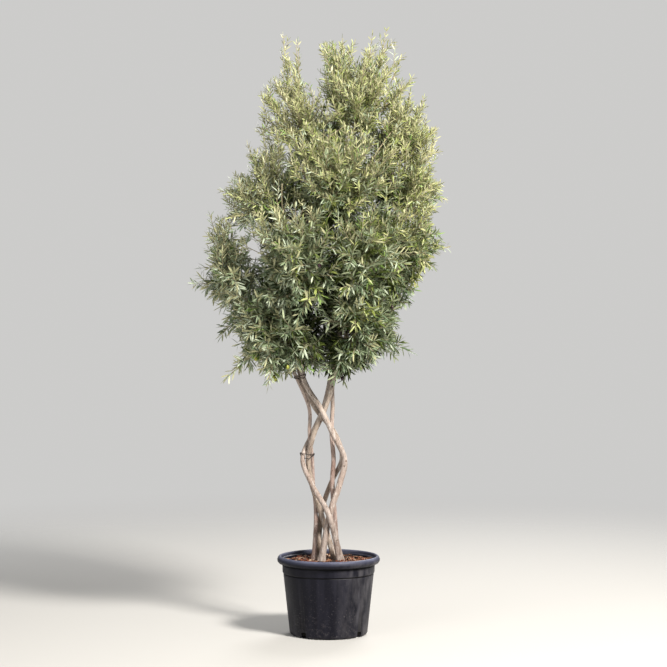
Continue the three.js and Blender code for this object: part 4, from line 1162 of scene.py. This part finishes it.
olives = {
    "radius": 0.0078, "stretch": 1.18, "stalk": 0.010, "stalkRadius": (0.0007, 0.0006),
    "rings": 8, "sides": 12,
    "green": [[-215, -190, 1084], [-232, -180, 1130], [-198, -190, 1084], [-206, -200, 1070],
              [-150, -240, 1150], [-330, -160, 1180], [-228, -176, 1118], [-220, -176, 1104]],
    "ripe": [[58, -52, 1108], [268, -122, 1410], [-60, -380, 1560], [330, -180, 1600], [-300, -160, 1850]],
}


def makeOlives(name, wanted, material):
    # Each hangs by a stalk from the twig point nearest to its wanted place. It is a ball stretched along Z:
    # (sin p cos a, sin p sin a, -stretch cos p) times the radius.
    tips = np.concatenate([mix(twigs["start"], twigs["tip"], 0.7), twigs["tip"]])
    polar = np.radians(np.linspace(12, 168, olives["rings"]))
    ball = turnedRings(np.stack([np.sin(polar), -np.cos(polar) * olives["stretch"]], -1), olives["sides"])
    ballFaces = ringFaces(olives["rings"], olives["sides"])
    wanted = np.array(wanted) * mm
    hold = tips[np.argmin(np.linalg.norm(tips - wanted[:, None], axis=2), axis=1)]
    centre = hold - [0, 0, olives["stalk"] + olives["radius"]]
    parts = [((spot + ball * olives["radius"]).reshape(-1, 3), ballFaces) for spot in centre]
    stalks = {"start": hold, "bow": hold - [0.002, 0, 0.4 * olives["stalk"]],
              "tip": centre + [0, 0, 0.95 * olives["radius"]]}
    parts.append(bowTubes(stalks, olives["stalkRadius"], 4, 4))
    vertices, faceSets = joined(parts)
    allFaces, onBalls = (sum(len(part) for part in faces) for faces in (faceSets, ballFaces * len(wanted)))
    paint = np.arange(allFaces) >= onBalls
    piece = addMesh(name, vertices, faceSets, [material, twigBark], faceMaterial=paint)
    return place(piece, "leaves", "low_front_left_foliage")


makeOlives("green_olives", olives["green"], Finish("greenOlive", (0.34, 0.36, 0.06), 0.32, 0.5).material)
makeOlives("ripe_olives", olives["ripe"], Finish("ripeOlive", (0.035, 0.014, 0.022), 0.3, 0.5).material)
print("olives made")


# Studio: a pale floor, a large soft key from the upper right, a fill and a pale surround

studio = {
    "floor": (0.52, 0.515, 0.505), "floorSize": 16, "floorHeight": -0.0005, "fadeFrom": 1.4, "fadeTo": 6.0,
    "surround": (0.92, 0.915, 0.90), "seenStrength": 0.66, "lightStrength": 0.29,
    "lights": [  # name, place, size, power, colour
        ["key", (3.4, -4.4, 5.4), 1.4, 1080, (1.0, 0.955, 0.88)],
        ["fill", (-4.5, -5.0, 2.6), 3.5, 130, (1.0, 0.985, 0.95)],
        ["back", (1.5, 4.5, 4.2), 2.5, 210, (1.0, 0.98, 0.95)],
    ],
    "aim": (0, 0, 1.4),
}


def floorFinish():
    # The floor thins out with the distance from the pot, so it has no far edge against the surround.
    finish = Finish("paleFloor", studio["floor"], 0.85, 0.1)
    away = addNode(finish.tree, "VectorMath", {0: finish.where()}, operation="LENGTH")["Value"]
    fade = addNode(finish.tree, "MapRange", {"Value": away, "From Min": studio["fadeFrom"],
                                             "From Max": studio["fadeTo"], "To Min": 1.0, "To Max": 0.0},
                   interpolation_type="SMOOTHSTEP")
    finish.tree.links.new(fade["Result"], finish.shader["Alpha"])
    return finish.material


def makeSurround():  # the camera sees it paler than it lights
    world = bpy.data.worlds.new("surround")
    world.use_nodes = True
    background = world.node_tree.nodes["Background"].inputs
    background["Color"].default_value = (*studio["surround"], 1)
    seen = addNode(world.node_tree, "LightPath")["Is Camera Ray"]
    strength = addNode(world.node_tree, "MapRange", {"Value": seen, "To Min": studio["lightStrength"],
                                                     "To Max": studio["seenStrength"]})
    world.node_tree.links.new(strength["Result"], background["Strength"])
    bpy.context.scene.world = world


def makeStudio():
    bpy.ops.mesh.primitive_plane_add(size=studio["floorSize"], location=(0, 0, studio["floorHeight"]))
    floor = bpy.context.object
    floor.name = "floor"
    floor.data.materials.append(floorFinish())
    makeSurround()
    for name, spot, size, power, color in studio["lights"]:
        data = bpy.data.lights.new(name, "AREA")
        data.size, data.energy, data.color = size, power, color
        light = bpy.data.objects.new(name, data)
        light.location = spot
        away = np.array(spot) - np.array(studio["aim"])
        light.rotation_euler = (math.atan2(math.hypot(away[0], away[1]), away[2]), 0,
                                math.atan2(away[0], -away[1]))
        bpy.context.scene.collection.objects.link(light)


def makeCamera():
    data = bpy.data.cameras.new("camera")
    data.sensor_width = viewer["sensor"]
    data.lens = viewer["lens"]
    data.shift_y = viewer["shift"]
    camera = bpy.data.objects.new("camera", data)
    camera.location = (viewer["across"], -viewer["away"], viewer["height"])
    camera.rotation_euler = (math.pi / 2, 0, 0)
    bpy.context.scene.collection.objects.link(camera)
    bpy.context.scene.camera = camera


makeStudio()
makeCamera()
bpy.context.scene.view_settings.view_transform = "Standard"
